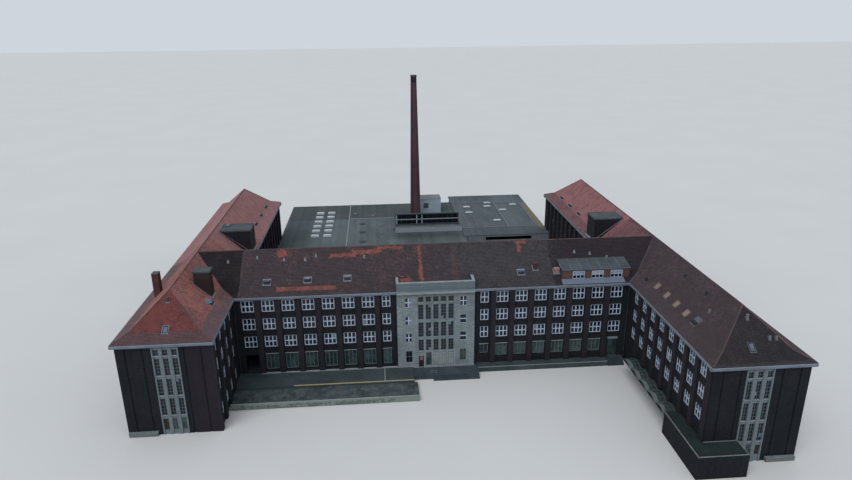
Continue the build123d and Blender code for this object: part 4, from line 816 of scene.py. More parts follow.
# The wings' stone panels: three window strips, and glazing beside the door
panelLook = {"pitch": 0.158, "strip": 0.092, "bars": (0.004, 0.0065, 0.02), "boardChance": 0.03,
             "sillW": 0.09, "half": 0.04, "top": 0.33, "low": {-1: 0.10, 1: 0.14}, "barW": 0.005,
             "railZ": 0.25}
for s in sides:
    wall = panelWall[s]
    for i in (-1, 0, 1):
        u = i * panelLook["pitch"]
        for v0, v1, rows in stripRows + [(0.395, 0.728, 5)]:
            addWindow(stripBars, panes, wall, u, v0, v1, panelLook["strip"], 2, rows, *panelLook["bars"],
                      panelLook["boardChance"])
            addSill(wall, u, v0, panelLook["sillW"], 0.012, 0.014)
    half, wide, low, top = pick(panelLook, "half barW low top")
    for i in ((0, 1) if s < 0 else (0,)):
        u = i * panelLook["pitch"]
        addBlock(greenPanes, wall, u - half, u + half, low[s], top, proud, 0.003)
        for k in range(3):
            a = u - half + (half - wide / 2) * k
            addBlock(greenBars, wall, a, a + wide, low[s], top, 0.003, 0.006)
        addBlock(greenBars, wall, u - half, u + half, panelLook["railZ"], panelLook["railZ"] + 0.006, 0.003,
                 0.005)
makePieces(("whiteWindowFrames", frames, whiteFrame), ("courtWindowFrames", darkFrames, brownFrame),
           ("stripWindowBars", stripBars, greyFrame), ("greenWindowBars", greenBars, greenFrame),
           ("windowPanes", panes, paneGlass, "window_glass"),
           ("greenPanes", greenPanes, greenGlass, "window_glass"), ("boardedPanes", boards, boardPaint),
           ("stoneInfills", infills, palePaint), ("sillCourses", sills, pilasterBrick),
           ("soldierCourses", heads, pilasterBrick))
print("windows placed:", len(frames["faces"]), "frame faces")

# Attic coping, cornice lead and the gutter's seams
atticLook = {"x": 0.797, "front": -0.05, "thick": 0.045, "back": 0.283, "top": 1.996, "lap": 0.005,
             "h": 0.009}
stoneX, front, thick, back, top, lap, h = pick(atticLook, "x front thick back top lap h")
addBox(stoneTrim, -stoneX - lap, stoneX + lap, front - lap, front + thick + lap, top + skin, top + h)
for s in sides:
    addBox(stoneTrim, *span(s, stoneX - thick - lap, stoneX + lap), front + thick + lap + skin, back,
           top + skin, top + h)
makePiece("stoneTrim", stoneTrim, paleStone)

seamLook = {"pitch": 0.2, "wide": 0.003, "high": 0.0012, "out": 0.058, "in": 0.052, "foot": 1.776,
            "frontX": (0.81, 4.0), "cornerGap": 0.06, "wingHalf": 0.85}
seams, pipes = newShapes(2)


def addSeams(wall, u0, u1):
    count, half = int((u1 - u0) / seamLook["pitch"]), seamLook["wide"] / 2
    high, out = pick(seamLook, "high out")
    for i in range(1, count):
        u = u0 + (u1 - u0) * i / count
        addBlock(seams, wall, u - half, u + half, seamLook["foot"], topZ + high, out, out + high)
        addBlock(seams, wall, u - half, u + half, topZ, topZ + high, seamLook["in"], out)


frontX, cornerGap, half = pick(seamLook, "frontX cornerGap wingHalf")
for s in sides:
    u = s * (wingMidX - layout["panelMidX"])
    addSeams(blockFront, *span(s, *frontX))
    addSeams(innerWall[s], frontY[s] - overhang, -cornerGap)
    addSeams(innerWall[s], blockDepth + cornerGap, rearY)
    addSeams(panelWall[s], u - half, u + half)
    addSeams(wingRear[s], -half, half)
addSeams(blockRear, -frontX[1], frontX[1])
makePiece("gutterSeams", seams, leadSheet)

# Downpipes with their heads and clips
pipeLook = {"radius": 0.006, "out": 0.012, "clipPitch": 0.3, "clipW": 0.018, "headW": 0.026, "headH": 0.03,
            "blockX": 4.035, "ground": 0.002, "wingYs": (-0.195, 2.205, 4.605, 6.9)}


def addDownpipe(wall, u, foot):
    top, n, half = layout["wallTop"] - 0.004, pipeLook["out"], pipeLook["headW"] / 2
    addTube(pipes, onWall(wall, u, foot, n), onWall(wall, u, top, n), pipeLook["radius"])
    addBlock(pipes, wall, u - half, u + half, top - pipeLook["headH"], top, 0.001, 2 * n)
    for i in range(int((top - foot) / pipeLook["clipPitch"])):
        v, half = foot + 0.1 + i * pipeLook["clipPitch"], pipeLook["clipW"] / 2
        addBlock(pipes, wall, u - half, u + half, v, v + 0.005, proud, n + 0.008)


for s in sides:
    ground = pipeLook["ground"]
    addDownpipe(blockFront, s * pipeLook["blockX"], deckZ if s < 0 else ground)
    addDownpipe(blockRear, s * pipeLook["blockX"], hallZ if s < 0 else ground)
    for y in (frontY[s] + 0.07, *pipeLook["wingYs"]):
        addDownpipe(outerWall[s], y, ground)
makePiece("downpipes", pipes, darkLead)
print("stone trim, gutters and pipes placed")


# Roof tiles: courses of thin wedges on the slabs, one wedge a course, clipped at hips and valleys
tileLook = {"kickRun": 0.265, "kickRise": 0.12, "lipZ": 0.006, "rise": 0.007, "headRise": 0.001,
            "sit": 0.0008, "course": 0.033, "tileW": 0.024, "blockRun": 0.982, "wingRun": 0.858,
            "atticRun": 0.34}
kick, kickRise, blockRun, wingRun = pick(tileLook, "kickRun kickRise blockRun wingRun")
eaveZ, kinkZ = topZ + tileLook["lipZ"], topZ + kickRise


def roofZ(r, run):
    if r <= kick:
        return eaveZ + (kinkZ - eaveZ) * r / kick
    return kinkZ + (ridge - kinkZ) * (r - kick) / (run - kick)


def otherRun(r, fromRun, toRun):
    # the run on the neighbouring slope that lies at the same height
    return r if r <= kick else kick + (r - kick) * (toRun - kick) / (fromRun - kick)


def courseRuns(run):
    lengths = math.hypot(kick, kinkZ - eaveZ), math.hypot(run - kick, ridge - kinkZ)
    low, high = [max(1, round(length / tileLook["course"])) for length in lengths]
    return [kick * i / low for i in range(low)] + [kick + (run - kick) * i / high for i in range(high + 1)]


def addSlope(shape, wall, run, left, right):
    # wall: the eave line; left and right give the ends along it at a run up the slope
    runs = courseRuns(run)
    for row, (r0, r1) in enumerate(zip(runs, runs[1:])):
        l0, l1, h0, h1 = left(r0), left(r1), right(r0), right(r1)
        if h0 - l0 < 0.002:
            continue
        h1 = max(h1, l1 + 0.0005)
        z0, z1 = roofZ(r0, run), roofZ(r1, run)
        normal = (up * (r1 - r0) + wall["out"] * (z1 - z0)).normalized()
        a, b = [onWall(wall, u, z0, -r0) + normal * tileLook["sit"] for u in (l0, h0)]
        c, d = [onWall(wall, u, z1, -r1) + normal * tileLook["sit"] for u in (l1, h1)]
        e, f = [p + normal * tileLook["rise"] for p in (a, b)]
        g, h = [p + normal * tileLook["headRise"] for p in (c, d)]
        a0, b0, a1, b1 = [u / tileLook["tileW"] + 0.5 * (row % 2) for u in (l0, h0, l1, h1)]
        topUv = [(a0, row + 0.05), (b0, row + 0.05), (b1, row + 0.95), (a1, row + 0.95)]
        frontUv = [(a0, row + 0.02), (b0, row + 0.02), (b0, row + 0.04), (a0, row + 0.04)]
        for points, uvs in (((e, f, h, g), topUv), ((a, b, f, e), frontUv), ((b, a, c, d), topUv),
                            ((d, c, g, h), topUv), ((a, e, g, c), topUv), ((f, b, d, h), topUv)):
            addFace(shape, points[::wall["turn"]], uvs[::wall["turn"]])


eaveIn, eaveOut = innerX - overhang, outerX + overhang
rearEave, blockRearEave = rearY + overhang, blockDepth + overhang
atticRun, frontEave = tileLook["atticRun"], frontWall(-overhang)


def valley(r):
    return eaveIn + otherRun(r, blockRun, wingRun)


blockFrontTiles, behindAttic, blockRearTiles = newShapes(3)
addSlope(blockFrontTiles, frontEave, blockRun, lambda r: -valley(r),
         lambda r: -stoneX if r < atticRun else 0.0)
addSlope(blockFrontTiles, frontEave, blockRun, lambda r: stoneX if r < atticRun else 0.0, valley)
addSlope(behindAttic, frontEave, blockRun, lambda r: thick - stoneX,
         lambda r: (stoneX if 0.05 < r < atticRun else -stoneX) - thick)
addSlope(blockRearTiles, rearWall(blockRearEave), blockRun, lambda r: -valley(r), valley)
for name, shape in (("blockFrontTiles", blockFrontTiles), ("tilesBehindAttic", behindAttic),
                    ("blockRearTiles", blockRearTiles)):
    makePiece(name, shape, blockTiles, "roof_tile")
frontEaves = {s: frontY[s] - overhang for s in sides}
for s in sides:
    frontE = frontEaves[s]
    inner, outer, hips, rearHip = newShapes(4)
    addSlope(inner, sideWall(s * eaveIn, -s), wingRun, lambda r: frontE + r,
             lambda r: otherRun(r, wingRun, blockRun) - overhang)
    addSlope(inner, sideWall(s * eaveIn, -s), wingRun,
             lambda r: blockRearEave - otherRun(r, wingRun, blockRun), lambda r: rearEave - r)
    addSlope(outer, sideWall(s * eaveOut, s), wingRun, lambda r: frontE + r, lambda r: rearEave - r)
    for shape, wall in ((hips, frontWall(frontE, s * wingMidX)),
                        (rearHip, rearWall(rearEave, s * wingMidX))):
        addSlope(shape, wall, wingRun, lambda r: r - wingRun, lambda r: wingRun - r)
    side, plain, hip = ("left", leftTiles, leftHipTiles) if s < 0 else ("right", rightTiles, rightHipTiles)
    for name, shape, tiles in (("Inner", inner, plain), ("Outer", outer, plain), ("FrontHip", hips, hip),
                               ("RearHip", rearHip, plain)):
        makePiece(side + name + "Tiles", shape, tiles, "roof_tile")
print("roof tiles laid")

# Ridge and hip caps, and lead in the valleys
capLook = {"radius": 0.014, "taper": 0.86, "length": 0.04, "gap": 0.002, "cornerGap": 0.02, "valleyR": 0.009}
caps, valleys = newShapes(2)
mid = blockDepth / 2


def addCaps(a, b):
    count = max(1, round((b - a).length / capLook["length"]))
    step = (b - a) / count
    gap = step.normalized() * capLook["gap"]
    for i in range(count):
        addTube(caps, a + step * i, a + step * (i + 1) - gap, capLook["radius"], 6,
                capLook["radius"] * capLook["taper"])


addCaps(at(0.03 - wingMidX, mid, ridge), at(wingMidX - 0.03, mid, ridge))
for s in sides:
    apexes = [at(s * wingMidX, y, ridge) for y in (frontEaves[s] + wingRun, rearEave - wingRun)]
    addCaps(*apexes)
    for apex, y, way in zip(apexes, (frontEaves[s], rearEave), (1, -1)):
        for x, inward in ((s * eaveIn, s), (s * eaveOut, -s)):
            corner, kink = at(x, y, eaveZ), at(x + inward * kick, y + way * kick, kinkZ)
            addCaps(corner + (kink - corner).normalized() * capLook["cornerGap"], kink)
            addCaps(kink, apex)
    for y, way in ((-overhang, 1), (blockRearEave, -1)):
        kink = at(s * (eaveIn + kick), y + way * kick, kinkZ)
        addTube(valleys, at(s * eaveIn, y, eaveZ), kink, capLook["valleyR"], 6)
        addTube(valleys, kink, at(s * wingMidX, mid, ridge), capLook["valleyR"], 6)
makePieces(("ridgeCaps", caps, ridgeClay, "roof_tile"), ("valleyLead", valleys, valleyMetal))
print("ridges capped")


# What stands on the slopes: lids, frames, glass and lead aprons on the CAD hatches and heads

def frontZ(x, y):
    return roofZ(y + overhang, blockRun)


def courtZ(x, y):
    return roofZ(abs(x) - eaveIn, wingRun)


def outerZ(x, y):
    return roofZ(eaveOut - abs(x), wingRun)


def hipZ(x, y):
    return roofZ(y - frontEaves[-1 if x < 0 else 1], wingRun)


aprons, lids, lidGlass, tanRims, tanPanes, stackBricks, headBoards, roofVents = newShapes(8)


def around(x, y, w, d, more=0.0):
    # the plan rectangle of a fitting, widened all round
    w, d = w / 2 + more, d / 2 + more
    return x - w, x + w, y - d, y + d


def cornersAt(x0, x1, y0, y1, z):
    return [at(x, y, z(x, y)) for x, y in ((x0, y0), (x1, y0), (x1, y1), (x0, y1))]


def addApron(shape, x0, x1, y0, y1, surface, lift=0.010, thick=0.002):
    # a thin sheet that follows the slope
    low = cornersAt(x0, x1, y0, y1, lambda x, y: surface(x, y) + lift - thick)
    addHull(shape, low, [p + up * thick for p in low])


def addHatch(x, y, w, d, h, surface, glazed=False, apron=0.018):
    x0, x1, y0, y1 = around(x, y, w, d)
    top = min(surface(a, b) for a in (x0, x1) for b in (y0, y1)) + h
    addApron(aprons, *around(x, y, w, d, apron), surface)
    addBox(lids, *around(x, y, w, d, 0.004), top + skin, top + 0.006)
    if glazed:
        addBox(lidGlass, *around(x, y, w, d, -0.008), top + 0.006, top + 0.009)


def addSlopeWindow(x, y, w, d, surface, rim, glass, apron=True):
    # a roof window that lies on the slope: frame, glass and apron
    lift, bar = 0.0145, 0.012
    if apron:
        addApron(aprons, *around(x, y, w, d, bar), surface)
    for spot in rimAcross(*around(x, y, w, d), bar):
        addApron(rim, *spot, surface, lift + 0.004, 0.0035)
    addApron(glass, *around(x, y, w, d, -bar), surface, lift + 0.002, 0.0015)


hatchLook = {
    "skylight": (0.130, 0.090, 0.070),
    "skylights": ((-3.396, 0.288), (-2.582, 0.302), (-1.779, 0.309), (1.810, 0.296)),
    "boxes": ((2.120, 0.369, 0.090, 0.080, 0.150), (2.554, 0.285, 0.110, 0.080, 0.110)),
    "wing": (0.110, 0.150, 0.060), "wings": ((-4.326, -0.572, True), (4.330, -2.263, False)),
    "tan": (0.110, 0.150), "tanX": 4.318, "tanYs": (-0.668, -1.104, -1.511, -1.904),
    "hip": (0.090, 0.120), "hips": ((-4.848, -1.607), (4.786, -3.222)),
    "rear": (0.060, 0.170, 0.050), "rearX": 4.295, "rearYs": (4.397, 5.215, 6.050),
    "vent": (0.034, 0.034, 0.090), "ventApron": 0.012,
    "courtVents": ((4.542, -2.272), (4.665, -1.865), (4.670, -1.030), (4.253, -0.280)),
    "hipVents": ((4.863, -2.852), (5.129, -3.116), (5.240, -3.120)), "leftVent": (-4.875, -1.194)}
for x, y in hatchLook["skylights"]:
    addHatch(x, y, *hatchLook["skylight"], frontZ, True)
for box in hatchLook["boxes"]:
    addHatch(*box, frontZ)
for x, y, glazed in hatchLook["wings"]:
    addHatch(x, y, *hatchLook["wing"], courtZ, glazed)
stackLook = {"x": (-5.504, -5.384), "y": (-0.075, 0.075), "z": (1.93, 2.404), "deep": 0.0015,
             "lid": (-5.444, 0.0, 0.130, 0.160), "lidZ": (2.4053, 2.413), "apron": 0.015}
addApron(aprons, *around(*stackLook["lid"], stackLook["apron"]), outerZ)
addBox(lids, *around(*stackLook["lid"]), *stackLook["lidZ"])
for y in hatchLook["tanYs"]:
    addSlopeWindow(hatchLook["tanX"], y, *hatchLook["tan"], courtZ, tanRims, tanPanes, False)
for x, y in hatchLook["hips"]:
    addSlopeWindow(x, y, *hatchLook["hip"], hipZ, lids, lidGlass)
for s in sides:
    for y in hatchLook["rearYs"]:
        addHatch(s * hatchLook["rearX"], y, *hatchLook["rear"], courtZ)
for surface, spots in ((hipZ, [hatchLook["leftVent"]]), (courtZ, hatchLook["courtVents"]),
                       (hipZ, hatchLook["hipVents"])):
    for x, y in spots:
        addHatch(x, y, *hatchLook["vent"], surface, apron=hatchLook["ventApron"])

# Stair heads and the small head: lead aprons, upstands on the lids, boards, a rooflight on the left one
headLook = {"x": (4.085, 4.775), "y": (2.510, 3.030), "lidTop": 2.410, "lidOut": 0.012,
            "upstand": (0.01, 0.006), "light": (-4.667, 2.908, 0.100, 0.080), "lightH": 0.020,
            "small": (-4.490, -0.2325, 0.324, 0.249), "smallZ": (2.528, 2.533)}
boardLook = {"pitch": 0.046, "gap": 0.004, "thick": 0.003, "top": 2.383, "off": 0.0002}
(x0, x1), (y0, y1), z, lap = pick(headLook, "x y lidTop lidOut")
pitch, gap, thick, top, off = pick(boardLook, "pitch gap thick top off")
for s in sides:
    addApron(aprons, *span(s, x0 - 0.04, x1 + 0.02), y0 - 0.03, y1 + 0.03, courtZ)
    for spot in rimAcross(*span(s, x0 - lap, x1 + lap), y0 - lap, y1 + lap, headLook["upstand"][0]):
        addBox(lids, *spot, z, z + headLook["upstand"][1])
    for i in range(int((x1 - x0) / pitch)):
        near = x0 + i * pitch
        foot = courtZ(near + pitch, 0) - 0.01
        if foot < top - 0.02:
            for face in (frontWall(y0), rearWall(y1)):
                addBlock(headBoards, face, *span(s, near, near + pitch - gap), foot, top, off, thick)
    for i in range(int((y1 - y0) / pitch)):
        a = y0 + i * pitch
        addBlock(headBoards, sideWall(s * x0, -s), a, a + pitch - gap, courtZ(x0, 0) - 0.01, top, off, thick)
    for y in (y0, y1):
        addBox(headBoards, *span(s, x0 - 0.004, x0 + 0.014), y - 0.005, y + 0.005, courtZ(x0, 0), top)
light, small, lightTop = *pick(headLook, "light small"), z + headLook["lightH"]
addBox(lids, *around(*light), z, lightTop)
addBox(lidGlass, *around(*light, -0.008), lightTop, lightTop + 0.004)
addApron(aprons, *around(*small, 0.018), courtZ)
addBox(lids, *around(*small), *headLook["smallZ"])
(x0, x1), (y0, y1), z, deep = pick(stackLook, "x y z deep")
for spot in ((x0 - deep, x1 + deep, y0 - deep, y0 - off), (x0 - deep, x1 + deep, y1 + off, y1 + deep),
             (x0 - deep, x0 - off, y0, y1), (x1 + off, x1 + deep, y0, y1)):
    addBox(stackBricks, *spot, *z)
roofVentLook = {"spots": ((-3.630, 0.758), (-3.081, 0.702), (-2.648, 0.687), (-2.430, 0.756),
                          (-1.428, 0.700), (-4.216, 0.697), (3.024, 0.651), (3.348, 0.609), (3.696, 0.523)),
                "h": 0.045, "radius": 0.010, "hood": 0.017, "tip": 0.006, "hoodH": 0.012, "counts": (8, 8),
                "apron": 0.044}
for x, y in roofVentLook["spots"]:
    z = frontZ(x, y)
    addVent(roofVents, x, y, z - 0.01, z + roofVentLook["h"], roofVentLook)
    addApron(aprons, *around(x, y, roofVentLook["apron"], roofVentLook["apron"]), frontZ)
makePieces(("stackBricks", stackBricks, stackBrick), ("stairHeadBoards", headBoards, boardTar),
           ("roofVents", roofVents, ventMetal), ("leadAprons", aprons, leadSheet),
           ("hatchLids", lids, roofSheet), ("tanWindowRims", tanRims, tanPaint),
           ("tanWindowPanes", tanPanes, tanGlass, "window_glass"),
           ("hatchGlass", lidGlass, hatchGlass, "window_glass"))

# The long dormer: brick between its windows, a lead band at its foot and seams on its lid
dormerLook = {"x": (2.635, 4.046), "front": 0.100, "foot": 1.886, "sill": 1.895, "head": 2.025,
              "split": 1.972, "top": 2.060, "lidZ": 2.098, "fall": 0.1953, "back": 0.535, "lidOut": 0.014,
              "seams": 8, "bar": 0.010}
(x0, x1), front, foot, sill, head, split, top = pick(dormerLook, "x front foot sill head split top")
lidTop, fall, back, lidOut, seamCount, bar = pick(dormerLook, "lidZ fall back lidOut seams bar")
dormerFront = frontWall(front)
dormerFrames, dormerPanes, dormerLights, dormerPale, dormerBricks, dormerSeams = newShapes(6)
windowXs, half = bayXs[-3:], windowW / 2
edges = [x0 + 0.001, *[e for x in windowXs for e in (x - half, x + half)], x1 - 0.001]
for u0, u1 in zip(edges[::2], edges[1::2]):
    addBlock(dormerBricks, dormerFront, u0, u1, foot, top, proud, 0.004)
for x in windowXs:
    addWindow(dormerFrames, dormerPanes, dormerFront, x, sill, head, windowW, 3, 1, bar, 0.012, 0.016)
    lights = dormerPale if x == windowXs[1] else dormerLights
    addBlock(lights, dormerFront, x - half, x + half, split, top, proud, 0.004)
    for i in range(4):
        a = x - half + (2 * half - bar) * i / 3
        addBlock(dormerFrames, dormerFront, a, a + bar, split, top, 0.004, 0.007)
    for v in (split, top - bar):
        addBlock(dormerFrames, dormerFront, x - half, x + half, v, v + bar, 0.004, 0.0065)
    addBlock(dormerFrames, dormerFront, x - half, x + half, sill - 0.008, sill, proud, 0.012)
addApron(dormerSeams, x0 - 0.02, x1 - 0.12, -0.045, 0.0995, frontZ)


def onLid(x, y):
    return at(x, y, lidTop + (y - front) * fall)


x0, x1, y0, y1 = x0 - lidOut, x1 + lidOut, front - lidOut, back - 0.002
for i in range(seamCount):
    x = x0 + 0.003 + (x1 - x0 - 0.006) * i / (seamCount - 1)
    addBar(dormerSeams, onLid(x, y0), onLid(x, y1), 0.005, 0.006)
addBar(dormerSeams, onLid(x0, y0 + 0.004), onLid(x1, y0 + 0.004), 0.008, 0.005)
makePieces(("dormerFrames", dormerFrames, whiteFrame),
           ("dormerPanes", dormerPanes, paneGlass, "window_glass"),
           ("dormerUpperLights", dormerLights, bluePaint), ("dormerPalePanel", dormerPale, palePaint),
           ("dormerBricks", dormerBricks, dormerBrick), ("dormerLead", dormerSeams, leadSheet))
print("slopes fitted out")

# Chimney: a round brick shaft, steel rings near the top
shaft, rings = newShapes(2)
centre, count, top, topR = pick(chimneyLook, "centre count top topR")


def shaftR(z):
    return chimneyLook["footR"] - (chimneyLook["footR"] - topR) * z / top


capZ, capR, flueZ = top - chimneyLook["capH"], topR + chimneyLook["capOut"], chimneyLook["flueZ"]
profile = [(shaftR(z), z) for z in [capZ * i / 10 for i in range(11)]]
profile += [(capR, capZ + chimneyLook["capOut"]), (capR, top), (chimneyLook["flueTop"], top),
            (chimneyLook["flueFoot"], flueZ), (0.0, flueZ), (0.0, 0.0)]
addTurned(shaft, centre, profile, count)
for z in chimneyLook["ringZs"]:
    r, out, z1 = shaftR(z), chimneyLook["ringOut"], z + chimneyLook["ringH"]
    r0, r1 = r - out, r + out
    addTurned(rings, centre, [(r1, z), (r1, z1), (r0, z1), (r0, z)], count)
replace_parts(makePiece("chimneyShaft", shaft, chimneyBrick, slot="chimney_brick"), "chimney")
makePiece("chimneyRings", rings, railPaint)

# Hall roofs: rooflight glass and ribs, vents, domes, gutters, the raised strip's mullions and copings
hallLook = {"light": (0.230, 0.130), "lightH": 0.040, "xs": (-3.050, -2.680), "y0": 6.800, "pitch": 0.480,
            "count": 6, "far": ((2.715, 9.758), (2.640, 9.318), (1.925, 9.300), (1.916, 8.630),
                                (2.690, 7.675), (3.091, 8.835), (3.560, 9.450)),
            "vents": ((-1.034, 8.071), (-1.041, 7.560), (-1.042, 6.796), (-1.044, 6.360), (-0.871, 5.976),
                      (-0.652, 7.250), (-1.438, 8.674)), "ventH": 0.05,
            "vent": {"radius": 0.012, "hood": 0.024, "tip": 0.010, "hoodH": 0.016, "counts": (10, 12)},
            "boxes": ((-1.878, 8.940), (-1.284, 8.687)), "box": (0.10, 0.07),
            "domes": ((-1.626, 7.930), (-1.614, 7.064), (-1.601, 6.162)),
            "dome": ((0.10, skin), (0.10, 0.012), (0.08, 0.024), (0.04, 0.032), (0.0, 0.034), (0.0, skin)),
            "gutters": (((1.94, 6.97), (1.94, 8.23), farHallZ), ((1.50, 9.80), (3.84, 9.80), farHallZ),
                        ((3.86, 7.0), (3.86, 9.8), farHallZ), ((-3.9, 1.95), (-3.9, 10.1), hallZ),
                        ((-2.03, 8.49), (-0.62, 8.49), hallZ))}
lightPanes, lightRibs, hallVents, darkLines, domes, mullions, darkMullions, copings = newShapes(8)
spots = [(x, hallLook["y0"] + i * hallLook["pitch"], hallZ) for x in hallLook["xs"]
         for i in range(hallLook["count"])]
for x, y, z in spots + [(x, y, farHallZ) for x, y in hallLook["far"]]:
    w, d = hallLook["light"]
    top = z + hallLook["lightH"]
    addHull(lightPanes, cornersAt(*around(x, y, w, d, -0.01), lambda a, b: top),
            cornersAt(*around(x, y, w, d, -0.03), lambda a, b: top + 0.014))
    addBox(lightRibs, *around(x, y, w, d, 0.008), z + skin, z + 0.008)
    addBox(lightRibs, *around(x, y, 0.008, d - 0.012), top, top + 0.016)
for x, y in hallLook["vents"]:
    addVent(hallVents, x, y, hallZ, hallZ + hallLook["ventH"], hallLook["vent"])
for x, y in hallLook["boxes"]:
    top = hallZ + hallLook["ventH"]
    addBox(hallVents, *around(x, y, *hallLook["box"]), hallZ, top)
    addBox(hallVents, *around(x, y, *hallLook["box"], 0.006), top, top + 0.006)
for x, y in hallLook["domes"]:
    addTurned(domes, (x, shiftY + y), [(r, hallZ + z) for r, z in hallLook["dome"]], 20)
for a, b, z in hallLook["gutters"]:
    addBar(darkLines, at(*a, z), at(*b, z), 0.035, 0.004)

stripLook = {"x": (-0.600, 1.345), "y": (6.900, 7.350), "top": 1.380, "back": 1.205, "edge": 0.03,
             "mullions": 12, "rows": ((1.060, 1.180), (1.215, 1.340)), "pale": (0, 4, 5),
             "parapetTop": 0.960, "parapetX": 1.450}
(x0, x1), (y0, y1), top, edge, count = pick(stripLook, "x y top edge mullions")
stripFront, fall = frontWall(y0), (stripLook["back"] - top) / (y1 - y0)
for v0, v1 in stripLook["rows"]:
    for i in range(count + 1):
        u = x0 + edge + (x1 - x0 - 2 * edge) * i / count
        half, shape = (0.010, mullions) if i in stripLook["pale"] else (0.004, darkMullions)
        u0 = min(max(u - half, x0 + edge), x1 - edge - 2 * half)
        addBlock(shape, stripFront, u0, u0 + 2 * half, v0, v1, -0.014, -0.004)
    middle = (v0 + v1) / 2
    addBlock(darkMullions, stripFront, x0 + edge, x1 - edge, middle - 0.003, middle + 0.003, -0.0135, -0.006)
addBox(copings, x0 - 0.006, stripLook["parapetX"], y0 - 0.046, y0 - skin, stripLook["parapetTop"],
       stripLook["parapetTop"] + 0.008)
for i in range(10):
    x = x0 + 0.004 + (x1 - x0 - 0.008) * i / 9
    addBar(copings, at(x, y0, top), at(x, y1, stripLook["back"]), 0.008, 0.006)
addBar(copings, at(x0, y0 + 0.006, top + fall * 0.006), at(x1, y0 + 0.006, top + fall * 0.006), 0.012, 0.008)
plantLook = {"middle": (0.665, 9.225), "size": (0.670, 0.550), "top": 1.255, "slats": 7,
             "slatX": (0.42, 0.58), "slatZ": 0.95, "slatH": 0.015, "slatPitch": 0.025}
top, size = plantLook["top"], plantLook["size"]
addBox(copings, *around(*plantLook["middle"], *size, 0.006), top, top + 0.010)
for i in range(plantLook["slats"]):
    v = plantLook["slatZ"] + plantLook["slatPitch"] * i
    addBlock(darkMullions, frontWall(plantLook["middle"][1] - size[1] / 2), *plantLook["slatX"], v,
             v + plantLook["slatH"], proud, 0.006)
makePieces(("rooflightDomes", lightPanes, lightGlass, "window_glass"),
           ("rooflightRibs", lightRibs, lightSheet), ("hallVents", hallVents, copingStone),
           ("hallDomes", domes, darkLead), ("hallGutters", darkLines, darkLead),
           ("paleMullions", mullions, whiteFrame), ("darkMullions", darkMullions, railPaint),
           ("hallCopings", copings, copingStone))
print("hall and chimney done")

# Docks: joints in the decks, the pale kerb at the wall foot, the bar across the deck and the apron's rail
deckLook = {"lowZ": 0.062, "pitch": 0.6, "jointW": 0.003, "jointH": 0.0008, "leftJoints": 5, "rightJoints": 4,
            "rightX": 1.3, "upperY": (-0.56, -0.05), "lowerY": (-1.15, -0.595), "rightY": (-0.215, -0.045),
            "kerbs": ((-3.62, -0.80, -0.052, -0.0003, 0.010), (-1.09, -1.072, -0.56, -0.055, 0.010),
                      (0.862, 3.625, -0.215, -0.200, 0.006)),
            "bar": (-4.02, -0.43, -1.18, -1.15, 0.1173, 0.121)}
apronLook = {"x": (-0.490, 0.860), "y": (-0.399, -0.0605), "z": 0.080, "joints": 5, "railZs": (0.125, 0.170),
             "posts": ((-0.14, -0.352), (-0.02, -0.352), (-0.02, -0.395)), "postTop": 0.173, "railR": 0.003,
             "postR": 0.0035}
deckJoints, deckKerbs, apronRail, ledgeSlabs = newShapes(4)


def addJoint(x, y0, y1, z):
    addBox(deckJoints, x, x + deckLook["jointW"], y0, y1, z, z + deckLook["jointH"])


for i in range(deckLook["leftJoints"]):
    x = deckLook["pitch"] * (i + 1) - innerX
    addJoint(x, *deckLook["upperY"], deckZ)
    addJoint(x, *deckLook["lowerY"], deckLook["lowZ"])
for i in range(deckLook["rightJoints"]):
    addJoint(deckLook["rightX"] + deckLook["pitch"] * i, *deckLook["rightY"], deckZ)
for *spot, h in deckLook["kerbs"]:
    addBox(deckKerbs, *spot, deckZ + skin, deckZ + h)
addBox(deckKerbs, *deckLook["bar"])
(x0, x1), apronY, apronZ, count, posts = pick(apronLook, "x y z joints posts")
for p, q in zip(posts, posts[1:]):
    for z in apronLook["railZs"]:
        addTube(apronRail, at(*p, z), at(*q, z), apronLook["railR"], 6)
for x, y in posts:
    addTube(apronRail, at(x, y, apronZ), at(x, y, apronLook["postTop"]), apronLook["postR"], 6)
for i in range(1, count):
    addJoint(x0 + (x1 - x0) * i / count, *apronY, apronZ)
ledgeLook = {"x": (5.158, 5.658), "out": 0.060, "top": 0.070, "slabs": 4, "lap": 0.004, "h": 0.009,
             "gap": 0.001}
(x0, x1), out, top, slabs, lap, h, gap = pick(ledgeLook, "x out top slabs lap h gap")
wide = (x1 - x0 + 2 * lap) / slabs
for s in sides:
    for i in range(slabs):
        near = x0 - lap + i * wide
        addBox(ledgeSlabs, *span(s, near + gap, near + wide - gap), frontY[s] - out - lap, frontY[s] - skin,
               top + skin, top + h)
makePieces(("deckJoints", deckJoints, darkLead), ("deckKerbs", deckKerbs, paleStone),
           ("ledgeSlabs", ledgeSlabs, copingStone), ("apronRail", apronRail, copingStone))

# Terrace: floor, coping, balusters; canopy: ribs at the bays and an edge trim on each vault
terraceLook = {"z": 0.420, "x": (3.800, 4.062, 4.650), "y": (-3.850, -3.474, -2.575), "coping": 0.022,
               "railH": 0.094, "pitch": 0.03, "barR": 0.0014, "barIn": 0.009}
terraceFloor, terraceCoping, balusters, ribs = newShapes(4)
z, (x0, x1, x2), (y0, y1, y2), c = pick(terraceLook, "z x y coping")
railH, pitch, barR, barIn = pick(terraceLook, "railH pitch barR barIn")
edge = c + 0.002
addBox(terraceFloor, x0 + edge, x1 - skin, y0 + edge, y2 - 0.002, z + skin, z + 0.005)
addBox(terraceFloor, x1, x2 - edge, y0 + edge, y1 - skin, z + skin, z + 0.005)
for spot in ((x0, x0 + c, y0 + c, y2), (x0, x2, y0, y0 + c), (x2 - c, x2, y0 + c, y1 - 0.017)):
    addBox(terraceCoping, *spot, z + skin, z + 0.007)
